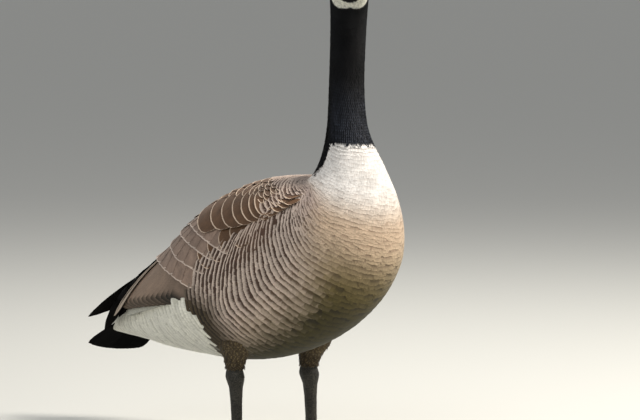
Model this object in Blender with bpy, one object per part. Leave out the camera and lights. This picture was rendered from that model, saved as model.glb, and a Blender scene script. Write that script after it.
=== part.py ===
# A Canada goose that stands alert with its wings folded, as a still life-size model.
# Metres, +Z up. The bird faces -Y, its right side is at -X, and its soles are on the floor at Z 0.

import math

import bmesh
import bpy
import numpy as np
from mathutils import Vector
from mathutils.bvhtree import BVHTree

# Driving sizes
GAP = 0.0003  # between touching nodes
WELD = 0.00002  # points this close after a cut or a join are made one
HEAD_TURN = math.radians(46)  # the head looks to the bird's right
NECK_AXIS = 0.143  # how far ahead of the legs' middle the upright neck stands
RING_SIDES = 28
BODY_STEPS = 3  # rings for each station of the body

# Sections of the bird from the bill's root to the tail: the back line's place, the belly line's place,
# half the width, and the widest level as a share of the section's height. Each place is ahead, up.
STATIONS = np.array(
    [
        (0.1960, 0.6840, 0.1900, 0.6550, 0.0135, 0.50),  # bill root
        (0.1870, 0.6945, 0.1810, 0.6485, 0.0190, 0.48),  # forehead
        (0.1690, 0.7040, 0.1705, 0.6415, 0.0250, 0.45),  # eyes
        (0.1450, 0.7065, 0.1655, 0.6320, 0.0275, 0.45),  # crown
        (0.1215, 0.6960, 0.1645, 0.6180, 0.0275, 0.48),  # back of the head
        (0.1130, 0.6680, 0.1645, 0.6000, 0.0260, 0.50),  # nape
        (0.1125, 0.6150, 0.1625, 0.5700, 0.0245, 0.50),  # upper neck
        (0.1125, 0.5350, 0.1615, 0.5200, 0.0245, 0.50),  # middle of the neck
        (0.1100, 0.4620, 0.1705, 0.4600, 0.0285, 0.50),  # lower neck
        (0.1010, 0.4170, 0.1985, 0.4050, 0.0440, 0.50),  # neck root
        (0.0870, 0.3930, 0.2130, 0.3600, 0.0650, 0.52),  # shoulder
        (0.0630, 0.3895, 0.2170, 0.3120, 0.0855, 0.54),  # upper breast
        (0.0320, 0.3870, 0.2100, 0.2640, 0.1000, 0.55),  # breast
        (-0.0060, 0.3815, 0.1800, 0.2160, 0.1085, 0.55),
        (-0.0480, 0.3690, 0.1310, 0.1750, 0.1125, 0.54),
        (-0.0920, 0.3485, 0.0750, 0.1460, 0.1130, 0.53),  # middle of the body
        (-0.1360, 0.3190, 0.0130, 0.1270, 0.1070, 0.52),
        (-0.1760, 0.2860, -0.0530, 0.1190, 0.0940, 0.52),
        (-0.2120, 0.2530, -0.1200, 0.1205, 0.0760, 0.52),  # rump
        (-0.2440, 0.2240, -0.1850, 0.1280, 0.0560, 0.52),
        (-0.2700, 0.2020, -0.2400, 0.1400, 0.0400, 0.50),  # root of the tail
        (-0.2900, 0.1860, -0.2850, 0.1560, 0.0270, 0.50),
    ]
)
# The folded wings leave the body behind this station and go on along sections of their own.
WING_LEAVES = 18
WING_REAR = np.array(
    [
        (-0.2120, 0.2600, -0.1300, 0.1150, 0.0840, 0.52),
        (-0.2500, 0.2330, -0.2000, 0.1180, 0.0700, 0.52),
        (-0.2850, 0.2080, -0.2620, 0.1160, 0.0580, 0.52),
        (-0.3180, 0.1850, -0.3150, 0.1100, 0.0470, 0.52),
        (-0.3500, 0.1650, -0.3580, 0.1040, 0.0380, 0.52),
        (-0.3850, 0.1460, -0.3920, 0.0980, 0.0300, 0.52),
    ]
)
WING_STATIONS = np.vstack([STATIONS[:WING_LEAVES], WING_REAR])
TURN_FROM, TURN_TO = 8.5, 4.5  # the neck twists between these stations

# Where one node of flesh ends and the next begins, as stations
HEAD_END, NECK_SPLIT, NECK_END, BREAST_END, TORSO_END, RUMP_END = 5.0, 7.0, 9.5, 13.0, 17.0, 20.0

# The folded wing on the body: stations, and degrees from the back's midline
WING_FRONT_TOP, WING_FRONT_LOW, WING_TO = 11.9, 11.0, 19.4
WING_TOP = 7.0
WING_LOW = ((11.0, 48), (12.3, 62), (13.0, 69), (14.7, 73),
            (15.6, 81), (16.5, 89), (17.2, 94), (19.4, 98))
WING_BED = 0.007  # depth of the bed that the wing lies in
VANE_THICK, VANE_CROWN, VANE_TILT = 0.0011, 3.4, 0.04  # thickness, rise of the shaft, slope across
WING_PROUD, WING_EDGE = 0.0030, 0.0030  # how far the wing's pad and its rim stand out of the body

# Feathers of the folded wing. A place is a station and the share of the way from the wing's upper edge to
# its lower edge. Scapulars lie in rows of two: share, width, stations that the tip lies behind the row's own.
SCAPULAR_ROWS, SCAPULAR_FROM, SCAPULAR_STEP, SCAPULAR_LONG = 5, 12.70, 0.62, 1.5
SCAPULARS = ((0.20, 0.042, 0.16), (0.58, 0.046, 0.0))
SCAPULAR_LIFT = (-0.0022, 0.0046)  # depth of the root and height of the tip over the body's outline
# Rows of coverts: stations of the tips at the shares of COVERT_AT
COVERT_AT = (0.21, 0.50, 0.79)
COVERT_ROWS = ((15.85, 15.25, 14.60), (16.35, 15.75, 15.10),
               (16.95, 16.30, 15.65), (17.65, 16.95, 16.25))
COVERT_LONG, COVERT_WIDE, COVERT_LIFT = 1.4, 0.040, (-0.0020, 0.0040)
# Long inner feathers from the back down to the flank: root, tip, width, height of the tip
TERTIALS = (
    ((16.2, 0.34), (19.5, 0.46), 0.034, 0.0036), ((16.0, 0.47), (19.3, 0.60), 0.034, 0.0031),
    ((15.8, 0.60), (19.0, 0.73), 0.034, 0.0026), ((15.6, 0.73), (18.5, 0.85), 0.032, 0.0021),
    ((15.4, 0.84), (17.9, 0.94), 0.028, 0.0016),
)
# The primaries of the right wing lie along the side of the rump, and those of the left wing cross its top:
# root, tip, width, how much the feather bows up on the way
PRIMARIES = {
    -1: (((16.6, 0.12), (20.6, 0.92), 0.018, -0.22), ((16.6, 0.20), (20.3, 0.97), 0.018, -0.18),
         ((16.6, 0.28), (20.0, 1.02), 0.018, -0.14)),
    1: (((17.2, 0.10), (22.7, -0.28), 0.024, 0.10), ((17.2, 0.22), (22.4, -0.14), 0.024, 0.10),
        ((17.2, 0.34), (21.9, 0.04), 0.024, 0.10)),
}
PRIMARY_LIFT = (-0.0030, 0.0036)

# Eyes
EYE_AT = (0.1730, 0.6800)  # ahead, up
EYE_RADIUS = 0.0062
EYE_SHOWS = 0.0022  # how far the ball stands out of the head
LID_RING, LID_THICK = 0.0056, 0.0011

# Bill, from its root to its tip: ahead, top, bottom, half width
BILL_TOP = ((0.205, 0.6802, 0.6618, 0.0128), (0.220, 0.6735, 0.6606, 0.0119), (0.234, 0.6684, 0.6598, 0.0113),
            (0.243, 0.6655, 0.6588, 0.0098), (0.2480, 0.6638, 0.6576, 0.0068), (0.2505, 0.6616, 0.6566, 0.0040))
BILL_LOW = ((0.205, 0.6612, 0.6545, 0.0115), (0.220, 0.6600, 0.6546, 0.0105), (0.234, 0.6592, 0.6552, 0.0098),
            (0.2415, 0.6584, 0.6556, 0.0082), (0.2455, 0.6578, 0.6562, 0.0050))
NAIL_AT, NAIL_HALF = (0.2466, 0.6612), (0.0046, 0.0046, 0.0032)
NOSTRIL_AT, NOSTRIL_OUT = (0.2170, 0.6702), 0.0106
NOSTRIL_HALF, NOSTRIL_SLOPE = (0.0020, 0.0046, 0.0018), 0.35  # across, along, up

# Legs
LEG_OUT = 0.050  # half the distance between the feet
LEG_STEP, LEG_AHEAD = 0.027, -0.003  # the left foot is ahead of the middle, the right foot behind it
# Feathered leg and bare leg: up, half width across, half width along, ahead of the foot, outside it
THIGH = ((0.170, 0.0190, 0.0260, 0.008, 0.002), (0.152, 0.0225, 0.0290, 0.006, 0.004),
         (0.139, 0.0205, 0.0240, 0.003, 0.003), (0.126, 0.0158, 0.0180, -0.001, 0.001),
         (0.1145, 0.0110, 0.0128, -0.003, 0.0))
TARSUS = ((0.1141, 0.0098, 0.0116, -0.003, 0), (0.1065, 0.0118, 0.0152, -0.004, 0),
          (0.0990, 0.0128, 0.0174, -0.003, 0), (0.0920, 0.0114, 0.0156, -0.002, 0),
          (0.0840, 0.0092, 0.0126, -0.001, 0), (0.0650, 0.0078, 0.0110, 0.0, 0),
          (0.0400, 0.0070, 0.0102, 0.001, 0), (0.0250, 0.0072, 0.0102, 0.0015, 0),
          (0.0150, 0.0074, 0.0102, 0.002, 0))
LEG_YAW = {-1: 12, 1: -5}  # degrees that the right and the left leg turn out
# Toes: degrees outwards from straight ahead, length, half width, height
TOES = ((-27, 0.066, 0.0050, 0.0082), (0, 0.084, 0.0054, 0.0088), (27, 0.078, 0.0050, 0.0084))
# Section of a toe with its flat sole: share of the half width, share of the height
TOE_PROFILE = ((-0.72, 0.0), (0.72, 0.0), (1.0, 0.32), (0.88, 0.72),
               (0.42, 1.0), (-0.42, 1.0), (-0.88, 0.72), (-1.0, 0.32))
HIND_TOE, HIND_LONG = 195, 0.0245  # degrees outwards, length
# The hind toe from the heel to its tip: share of the length, half width, underside over the floor, height
HIND_SHAPE = ((0.1, 0.0034, 0.0052, 0.0070), (0.45, 0.0032, 0.0030, 0.0060), (0.7, 0.0034, 0.0, 0.0056),
              (0.93, 0.0030, 0.0, 0.0048), (1.0, 0.0020, 0.0004, 0.0036))
# A toe from the heel to its tip, with its joints: shares of its length, half width and height
TOE_SHAPE = ((0.0, 1.1, 1.1), (0.14, 0.95, 0.95), (0.30, 1.12, 1.02), (0.45, 0.90, 0.86), (0.60, 1.05, 0.90),
             (0.74, 0.84, 0.76), (0.87, 0.95, 0.78), (0.96, 0.80, 0.66), (1.0, 0.55, 0.48))
WEB_LOW, WEB_HIGH = 0.0010, 0.0036
CLAW_LONG, CLAW_WIDE, CLAW_HIGH, CLAW_SIDES = 0.0105, 0.0023, 0.0019, 8  # half width, half height

# Tail
TAIL_VANES = 12
TAIL_LONG, TAIL_WIDE, TAIL_THICK = 0.111, 0.025, 0.0014
TAIL_FAN = math.radians(13)  # turn of the outermost feathers
TAIL_ROLL = math.radians(12)  # tilt of the outermost feathers
TAIL_ROOT = (-0.262, 0.168)  # ahead, up
TAIL_SPREAD, TAIL_ARCH = 0.022, 0.0  # the roots spread to each side and drop there
TAIL_DROOP, TAIL_SIDE_DROOP = math.radians(31), math.radians(-3)
TAIL_STEP, TAIL_SHORTER = 0.0007, 0.08  # each pair lies this much lower, and the outermost is shorter

BROWN, WHITE, BLACK, BUFF = "brown", "white", "black", "buff"
COLOURS = {
    BROWN: (0.16, 0.10, 0.065, 0.7),
    WHITE: (0.72, 0.68, 0.60, 0.8),
    BLACK: (0.012, 0.012, 0.014, 0.5),
    BUFF: (0.42, 0.33, 0.24, 0.8),
}


def material(colour):
    name = colour + " plumage"
    found = bpy.data.materials.get(name)
    if found:
        return found
    made = bpy.data.materials.new(name)
    made.use_nodes = True
    shader = made.node_tree.nodes["Principled BSDF"]
    red, green, blue, roughness = COLOURS[colour]
    shader.inputs["Base Color"].default_value = (red, green, blue, 1)
    shader.inputs["Roughness"].default_value = roughness
    shader.inputs["Metallic"].default_value = 0
    return made


def smooth_step(x):
    x = min(1.0, max(0.0, x))
    return x * x * (3 - 2 * x)


def between(pairs, x):
    return float(np.interp(x, [p[0] for p in pairs], [p[1] for p in pairs]))


def station(t, table=STATIONS):
    """The section at station t, on a Catmull-Rom curve through the table."""
    i = int(min(max(math.floor(t), 0), len(table) - 2))
    u = t - i
    p1, p2 = table[i], table[i + 1]
    p0 = table[i - 1] if i > 0 else 2 * p1 - p2
    p3 = table[i + 2] if i + 2 < len(table) else 2 * p2 - p1
    square, cube = 2 * p0 - 5 * p1 + 4 * p2 - p3, 3 * p1 - p0 - 3 * p2 + p3
    return 0.5 * (2 * p1 + (p2 - p0) * u + square * u**2 + cube * u**3)


def turned(point, t):
    """A point of the neck or head, turned with the twist of the neck. X across, Y ahead, Z up in, world out."""
    angle = HEAD_TURN * smooth_step((TURN_FROM - t) / (TURN_FROM - TURN_TO))
    across, ahead, up = point
    ahead -= NECK_AXIS
    x = across * math.cos(angle) - ahead * math.sin(angle)
    y = across * math.sin(angle) + ahead * math.cos(angle)
    return Vector((x, -(y + NECK_AXIS), up))


def on_section(t, degrees, table=STATIONS):
    """A point on the body's outline: degrees go from 0 at the back's midline to 180 at the belly's."""
    back_ahead, back_up, belly_ahead, belly_up, half, widest = station(t, table)
    back, belly = np.array((back_ahead, back_up)), np.array((belly_ahead, belly_up))
    middle = belly + (back - belly) * widest
    turn = math.radians(degrees)
    reach = math.cos(turn)
    ahead, up = middle + (back - middle) * reach if reach >= 0 else middle + (belly - middle) * -reach
    return turned((half * math.sin(turn), ahead, up), t)


def out_of(t, degrees, table=STATIONS):
    """The outward normal of the body's outline."""
    step_t, step_a = 0.05, 2.0
    along = on_section(t + step_t, degrees, table) - on_section(t - step_t, degrees, table)
    round_it = on_section(t, degrees + step_a, table) - on_section(t, degrees - step_a, table)
    normal = along.cross(round_it).normalized()
    back_ahead, back_up, belly_ahead, belly_up, _, widest = station(t, table)
    middle_ahead = belly_ahead + (back_ahead - belly_ahead) * widest
    core = turned((0, middle_ahead, belly_up + (back_up - belly_up) * widest), t)
    return normal if normal.dot(on_section(t, degrees, table) - core) > 0 else -normal


def mesh_object(name, points, faces, colour=BROWN):
    mesh = bpy.data.meshes.new(name)
    mesh.from_pydata([tuple(p) for p in points], [], faces)
    made = bpy.data.objects.new(name, mesh)
    bpy.context.scene.collection.objects.link(made)
    work = bmesh.new()
    work.from_mesh(mesh)
    bmesh.ops.recalc_face_normals(work, faces=work.faces[:])
    bmesh.ops.triangulate(work, faces=work.faces[:])
    work.to_mesh(mesh)
    work.free()
    mesh.materials.append(material(colour))
    return made


def loft(name, rings, colour=BROWN):
    """A closed body through rings of as many points each, with a fan at either end."""
    count = len(rings[0])
    points = [p for ring in rings for p in ring]
    faces = []
    for i in range(len(rings) - 1):
        a, b = i * count, (i + 1) * count
        for j in range(count):
            k = (j + 1) % count
            faces.append((a + j, a + k, b + k))
            faces.append((a + j, b + k, b + j))
    for ring, first in ((rings[0], 0), (rings[-1], (len(rings) - 1) * count)):
        points.append(sum((Vector(p) for p in ring), Vector()) / count)
        for j in range(count):
            faces.append((first + j, first + (j + 1) % count, len(points) - 1))
    return mesh_object(name, points, faces, colour)


def leg_rings(levels, side, sides=16):
    """Level rings for a leg, turned out by its yaw about the foot."""
    rings = []
    yaw = math.radians(LEG_YAW[side] * side)
    for up, across, along, ahead, out in levels:
        ring = []
        for j in range(sides):
            turn = 2 * math.pi * j / sides
            x, y = side * out + across * math.cos(turn), ahead + along * math.sin(turn)
            x, y = x * math.cos(yaw) + y * math.sin(yaw), y * math.cos(yaw) - x * math.sin(yaw)
            ring.append(Vector((side * LEG_OUT + x, -(side * LEG_STEP + LEG_AHEAD + y), up)))
        rings.append(ring)
    return rings


def ball(name, centre, radii, segments=16, rings=10, colour=BROWN):
    bpy.ops.mesh.primitive_uv_sphere_add(segments=segments, ring_count=rings, radius=1)
    made = bpy.context.object
    made.name = name
    for vertex in made.data.vertices:
        vertex.co = Vector(centre) + Vector(c * r for c, r in zip(vertex.co, radii))
    made.data.materials.append(material(colour))
    return made


def boolean(target, others, operation):
    """Joins the others to the target or cuts them from it, and removes them."""
    pieces = bpy.data.collections.new("pieces")
    bpy.context.scene.collection.children.link(pieces)
    for other in others:
        for holder in list(other.users_collection):
            holder.objects.unlink(other)
        pieces.objects.link(other)
    change = target.modifiers.new("pieces", "BOOLEAN")
    change.operation = operation
    change.operand_type = "COLLECTION"
    change.collection = pieces
    change.solver = "MANIFOLD"
    graph = bpy.context.evaluated_depsgraph_get()
    target.data = bpy.data.meshes.new_from_object(target.evaluated_get(graph))
    target.modifiers.clear()
    for other in others:
        bpy.data.objects.remove(other)
    bpy.data.collections.remove(pieces)
    keep_largest(target)


def keep_largest(target):
    """Drops every closed surface of the mesh but the largest."""
    work = bmesh.new()
    work.from_mesh(target.data)
    left, shells = set(work.verts), []
    while left:
        shell, edge = set(), [left.pop()]
        while edge:
            vertex = edge.pop()
            shell.add(vertex)
            for link in vertex.link_edges:
                other = link.other_vert(vertex)
                if other in left:
                    left.discard(other)
                    edge.append(other)
        shells.append(shell)
    shells.sort(key=len)
    loose = [v for shell in shells[:-1] for v in shell]
    bmesh.ops.delete(work, geom=loose, context="VERTS")
    bmesh.ops.remove_doubles(work, verts=work.verts[:], dist=WELD)
    bmesh.ops.dissolve_degenerate(work, edges=work.edges[:], dist=WELD)
    bmesh.ops.triangulate(work, faces=work.faces[:])
    work.to_mesh(target.data)
    work.free()


def swollen(source, by):
    """A copy of a mesh with its faces moved outwards, to cut a neighbour clear of it."""
    copy = source.copy()
    copy.data = source.data.copy()
    bpy.context.scene.collection.objects.link(copy)
    work = bmesh.new()
    work.from_mesh(copy.data)
    work.normal_update()
    moves = {}
    for vertex in work.verts:
        sharpest = min((vertex.normal.dot(face.normal) for face in vertex.link_faces), default=1)
        moves[vertex] = vertex.normal * by / max(0.35, sharpest)
    for vertex, move in moves.items():
        vertex.co += move
    work.to_mesh(copy.data)
    work.free()
    return copy


def clear_of(target, *others, by=GAP):
    boolean(target, [swollen(other, by) for other in others], "DIFFERENCE")


def wing_bed(t, degrees):
    """How far the body is lowered at a place to make room for the folded wing."""
    # The bed is a little wider than the wing.
    low = between(WING_LOW, t) + 4
    across = (degrees - WING_TOP) / (low - WING_TOP)
    front = WING_FRONT_TOP - 0.15 + (WING_FRONT_LOW - WING_FRONT_TOP) * min(1.0, max(0.0, across))
    edge = min(smooth_step((degrees - WING_TOP + 4) / 14), smooth_step((low - degrees) / 12))
    return WING_BED * edge * smooth_step((t - front) / 1.2)


def body_ring(t, table=STATIONS, bed=True, sides=RING_SIDES):
    ring = []
    for j in range(sides):
        degrees = 360 * j / sides
        side, half_turn = (1, degrees) if degrees <= 180 else (-1, 360 - degrees)
        point = on_section(t, degrees, table)
        depth = wing_bed(t, half_turn) if bed else 0.0
        ring.append(point - out_of(t, degrees, table) * depth if depth else point)
    return ring


def body_length(name, start, end, colour, steps=BODY_STEPS, sides=RING_SIDES):
    """One length of the body between two stations, set back from its neighbours by half the gap at each end."""
    count = max(2, round((end - start) * steps) + 1)
    rings = [body_ring(start + (end - start) * i / (count - 1), sides=sides) for i in range(count)]
    for ring, other in ((rings[0], rings[1]), (rings[-1], rings[-2])):
        normal = (ring[sides // 4] - ring[0]).cross(ring[sides // 2] - ring[0]).normalized()
        inwards = normal if normal.dot(sum(other, Vector()) - sum(ring, Vector())) > 0 else -normal
        for point in ring:
            point += inwards * GAP * 0.6
    return loft(name, rings, colour)


def build_body():
    parts = {
        "head": body_length("head", 0.0, HEAD_END, BLACK, steps=3, sides=RING_SIDES),
        "neck_upper": body_length("neck_upper", HEAD_END, NECK_SPLIT, BLACK, steps=2.5, sides=20),
        "neck_lower": body_length("neck_lower", NECK_SPLIT, NECK_END, BLACK, steps=2.5),
        "breast": body_length("breast", NECK_END, BREAST_END, BUFF),
        "torso": body_length("torso", BREAST_END, TORSO_END, BROWN),
        "rump": body_length("rump", TORSO_END, RUMP_END, WHITE),
    }
    return parts


def head_place(across, ahead, up):
    return turned((across, ahead, up), 0)


def head_axis(across, ahead, up):
    return head_place(across, ahead + NECK_AXIS, up) - head_place(0, NECK_AXIS, 0)


def build_eyes(head):
    """Eyeballs in sockets, each with a ring of lids."""
    surface = BVHTree.FromObject(head, bpy.context.evaluated_depsgraph_get())
    for name, side in (("eye_r", -1), ("eye_l", 1)):
        start = head_place(side * 0.08, *EYE_AT)
        inwards = head_axis(-side, 0, 0)
        hit, normal, _, _ = surface.ray_cast(start, inwards)
        out = (normal.normalized() * 0.75 - inwards * 0.25).normalized()
        centre = hit + out * (EYE_SHOWS - EYE_RADIUS)
        eye = ball(name, centre, (EYE_RADIUS,) * 3, 14, 8, BLACK)
        bpy.ops.mesh.primitive_torus_add(
            major_segments=16, minor_segments=5, major_radius=LID_RING, minor_radius=LID_THICK,
            location=hit + out * EYE_SHOWS * 0.1, rotation=out.to_track_quat("Z", "Y").to_euler())
        lids = bpy.context.object
        lids.data.transform(lids.matrix_world)
        lids.matrix_world.identity()
        boolean(head, [lids], "UNION")
        clear_of(head, eye, by=GAP)


def bill_rings(table, upper):
    """Rings of one half of the bill, domed on its outer side and flat at the mouth line."""
    back_ahead, back_up, belly_ahead, belly_up, _, _ = STATIONS[0]
    # The root ring lies on the head's front face, which leans.
    share_top, share_low, half = (0.96, 0.235, 0.0131) if upper else (0.205, 0.02, 0.0120)
    root_top = (belly_ahead + (back_ahead - belly_ahead) * share_top, belly_up + (back_up - belly_up) * share_top)
    root_low = (belly_ahead + (back_ahead - belly_ahead) * share_low, belly_up + (back_up - belly_up) * share_low)
    levels = [(root_top[0], root_low[0], root_top[1], root_low[1], half)]
    levels += [(ahead, ahead, top, low, wide) for ahead, top, low, wide in table]
    rings = []
    for ahead_top, ahead_low, top, low, wide in levels:
        ring = []
        for j in range(14):
            turn = 2 * math.pi * j / 14
            across = wide * math.copysign(abs(math.sin(turn)) ** 0.85, math.sin(turn))
            height = math.cos(turn)
            # The mouth side keeps to a shallow curve and the outer side has the full height.
            share = 0.28 + 0.72 * height if height > 0 else 0.28 + 0.28 * height
            share = share if upper else 1 - share
            ahead = ahead_low + (ahead_top - ahead_low) * share + 0.0004
            ring.append(head_place(across, ahead, low + (top - low) * share))
        rings.append(ring)
    return rings


def build_bill(head):
    upper = loft("bill_upper", bill_rings(BILL_TOP, True), BLACK)
    nail = ball("nail", head_place(0, *NAIL_AT), NAIL_HALF, 12, 8)
    boolean(upper, [nail], "UNION")
    pits = []
    for side in (-1, 1):
        pit = ball("pit", (0, 0, 0), NOSTRIL_HALF, 10, 8)
        centre = head_place(side * NOSTRIL_OUT, *NOSTRIL_AT)
        for vertex in pit.data.vertices:
            across, along, up = vertex.co
            vertex.co = centre + head_axis(across, -along, up + NOSTRIL_SLOPE * along)
        pits.append(pit)
    boolean(upper, pits, "DIFFERENCE")
    lower = loft("bill_lower", bill_rings(BILL_LOW, False), BLACK)
    clear_of(lower, upper)
    return upper, lower


def vane_rings(axis, outs, half_widths, thick, sink_edges, tilt=0):
    """Rings of a feather along its shaft: the edges lower than the shaft."""
    rings = []
    for i, point in enumerate(axis):
        along = (axis[min(i + 1, len(axis) - 1)] - axis[max(i - 1, 0)]).normalized()
        out = (outs[i] - along * outs[i].dot(along)).normalized()
        side = out.cross(along).normalized()
        half = half_widths[i]
        drop = out * (sink_edges * half * half + 0.0002)
        top, low = out * thick * 0.5, out * thick * -0.5
        edge = side * half + out * tilt * half
        rings.append([point - edge - drop + top, point + top * 1.3, point + edge - drop + top,
                      point + edge - drop + low, point - edge - drop + low])
    return rings


# Outlines of a long and of a short feather: share of its length, share of its width
LONG_SHAPE = ((0.0, 0.50), (0.35, 0.90), (0.72, 1.0), (0.93, 0.66), (1.0, 0.22))
SHORT_SHAPE = ((0.0, 0.50), (0.55, 1.0), (0.86, 0.84), (1.0, 0.30))


def surface_vane(side, root, tip, wide, lift, shape=SHORT_SHAPE, thick=VANE_THICK, bow=0):
    """A feather laid on the wing's outline from root to tip, its flank-side edge over the next feather."""
    axis, outs, halves = [], [], []
    for share, width in shape:
        t = root[0] + (tip[0] - root[0]) * share
        across = root[1] + (tip[1] - root[1]) * share + bow * 4 * share * (1 - share)
        degrees = side * (WING_TOP + (between(WING_LOW, t) - WING_TOP) * across)
        out = out_of(t, degrees, WING_STATIONS)
        rise = lift[0] + (lift[1] - lift[0]) * share
        axis.append(on_section(t, degrees, WING_STATIONS) + out * rise)
        outs.append(out)
        halves.append(wide * 0.5 * width)
    return loft("vane", vane_rings(axis, outs, halves, thick, VANE_CROWN, -side * VANE_TILT))


def wing_pad(side):
    """The folded wing's body: a low shell on the back and flank that fills its bed."""
    along, across = 18, 8
    tops, lows = [], []
    for i in range(along + 1):
        ends = min(smooth_step(i / 3), smooth_step((along - i) / 3))
        row_top, row_low = [], []
        for j in range(across + 1):
            q = j / across
            front = WING_FRONT_TOP + (WING_FRONT_LOW - WING_FRONT_TOP) * q
            t = front + (WING_TO - front) * i / along
            degrees = side * (WING_TOP + (between(WING_LOW, t) - WING_TOP) * q)
            point, out = on_section(t, degrees, WING_STATIONS), out_of(t, degrees, WING_STATIONS)
            middle = min(smooth_step(j / 2), smooth_step((across - j) / 2))
            row_top.append(point + out * (WING_EDGE + (WING_PROUD - WING_EDGE) * middle * ends))
            row_low.append(point - out * (0.0022 + (WING_BED + 0.003) * middle * ends))
        tops.append(row_top)
        lows.append(row_low)
    points = [p for row in tops for p in row] + [p for row in lows for p in row]
    wide, shift = across + 1, (along + 1) * (across + 1)
    faces = []
    for i in range(along):
        for j in range(across):
            a, b, c, d = i * wide + j, i * wide + j + 1, (i + 1) * wide + j + 1, (i + 1) * wide + j
            faces += [(a, b, c), (a, c, d), (a + shift, c + shift, b + shift), (a + shift, d + shift, c + shift)]
    rim = [(0, j) for j in range(across)] + [(i, across) for i in range(along)]
    rim += [(along, j) for j in range(across, 0, -1)] + [(i, 0) for i in range(along, 0, -1)]
    for k, (i, j) in enumerate(rim):
        i2, j2 = rim[(k + 1) % len(rim)]
        a, b = i * wide + j, i2 * wide + j2
        faces += [(a, a + shift, b + shift), (a, b + shift, b)]
    return mesh_object("wing", points, faces, BROWN)


def wing_vanes(side):
    """All feathers of one folded wing, from the scapulars to the primaries."""
    vanes = []
    for row in range(SCAPULAR_ROWS):
        for across, wide, behind in SCAPULARS:
            tip = SCAPULAR_FROM + SCAPULAR_STEP * row + behind
            root = max(WING_FRONT_TOP - 0.3, tip - SCAPULAR_LONG)
            vanes.append(surface_vane(side, (root, across), (tip, across), wide, SCAPULAR_LIFT))
    for row in COVERT_ROWS:
        for across, tip in zip(COVERT_AT, row):
            vanes.append(surface_vane(side, (tip - COVERT_LONG, across), (tip, across), COVERT_WIDE, COVERT_LIFT))
    for root, tip, wide, high in TERTIALS:
        vanes.append(surface_vane(side, root, tip, wide, (-0.0024, high), LONG_SHAPE))
    for root, tip, wide, bow in PRIMARIES[side]:
        vanes.append(surface_vane(side, root, tip, wide, PRIMARY_LIFT, LONG_SHAPE, VANE_THICK * 1.3, bow))
    return vanes


def build_wing(side, name, clear):
    wing = wing_pad(side)
    wing.name = name
    boolean(wing, wing_vanes(side), "UNION")
    clear_of(wing, *clear)
    return wing


def build_tail(rump):
    """The tail's root and its feathers, fanned from one place, the outer ones lower than the middle ones."""
    tail = loft("tail", [body_ring(RUMP_END + 0.02 + 0.4 * i, sides=20) for i in range(4)], WHITE)
    vanes = []
    for i in range(TAIL_VANES):
        share = 2 * i / (TAIL_VANES - 1) - 1
        turn, roll = TAIL_FAN * share, TAIL_ROLL * share
        root = Vector((TAIL_SPREAD * share, -TAIL_ROOT[0], TAIL_ROOT[1] - TAIL_ARCH * share * share))
        droop = TAIL_DROOP + TAIL_SIDE_DROOP * share * share
        heading = Vector((math.sin(turn), math.cos(turn) * math.cos(droop), -math.sin(droop)))
        out = Vector((math.sin(roll), math.sin(droop) * math.cos(roll), math.cos(droop) * math.cos(roll)))
        # The middle pair lies on top, and each pair under it is a little lower.
        sink = TAIL_STEP * abs(share) * TAIL_VANES / 2
        long = TAIL_LONG * (1 - TAIL_SHORTER * share * share)
        axis = [root + heading * long * along - out * sink for along, _ in LONG_SHAPE]
        halves = [TAIL_WIDE / 2 * width for _, width in LONG_SHAPE]
        vanes.append(loft("vane", vane_rings(axis, [out] * len(axis), halves, TAIL_THICK, VANE_CROWN)))
    boolean(tail, vanes, "UNION")
    clear_of(tail, rump)
    return tail


def toe_rings(start, heading, length, half, height):
    """A toe with a flat sole and three joints."""
    side = Vector((-heading.y, heading.x, 0))
    return [
        [start + heading * length * s + side * x * half * w + Vector((0, 0, z * height * h)) for x, z in TOE_PROFILE]
        for s, w, h in TOE_SHAPE
    ]


def hind_rings(start, back):
    """The short hind toe, which slopes down from the heel to a flat tip on the floor."""
    side = Vector((-back.y, back.x, 0))
    rings = []
    for share, half, up, high in HIND_SHAPE:
        rings.append([start + back * HIND_LONG * share + side * x * half + Vector((0, 0, up + z * high))
                      for x, z in TOE_PROFILE])
    return rings


def web(start, first, second):
    """The skin between two toes, with a hollow front edge."""
    (heading_a, long_a), (heading_b, long_b) = first, second
    steps = 6
    rim = [start - (heading_a + heading_b).normalized() * 0.004]
    for i in range(steps + 1):
        share = i / steps
        heading = (heading_a * (1 - share) + heading_b * share).normalized()
        reach = long_a * (1 - share) + long_b * share
        rim.append(start + heading * reach * (0.90 - 0.17 * math.sin(math.pi * share)))
    count = len(rim)
    points = [p + Vector((0, 0, z)) for z in (WEB_LOW, WEB_HIGH) for p in rim]
    faces = [tuple(range(count)), tuple(range(count, 2 * count))]
    faces += [(i, (i + 1) % count, (i + 1) % count + count, i + count) for i in range(count)]
    return mesh_object("web", points, faces)


def claw(name, tip_of_toe, heading, height, long=CLAW_LONG, down=0.0022):
    """A blunt, slightly hooked claw ahead of a toe."""
    side = Vector((-heading.y, heading.x, 0))
    rings = []
    for s, size in ((0.0, 1.0), (0.4, 0.86), (0.75, 0.58), (1.0, 0.16)):
        centre = tip_of_toe + heading * (long * s + GAP) + Vector((0, 0, height - down * s * s))
        ring = []
        for j in range(CLAW_SIDES):
            turn = 2 * math.pi * j / CLAW_SIDES
            up = Vector((0, 0, math.sin(turn) * CLAW_HIGH * size))
            ring.append(centre + side * math.cos(turn) * CLAW_WIDE * size + up)
        rings.append(ring)
    return loft(name, rings, BLACK)


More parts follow.
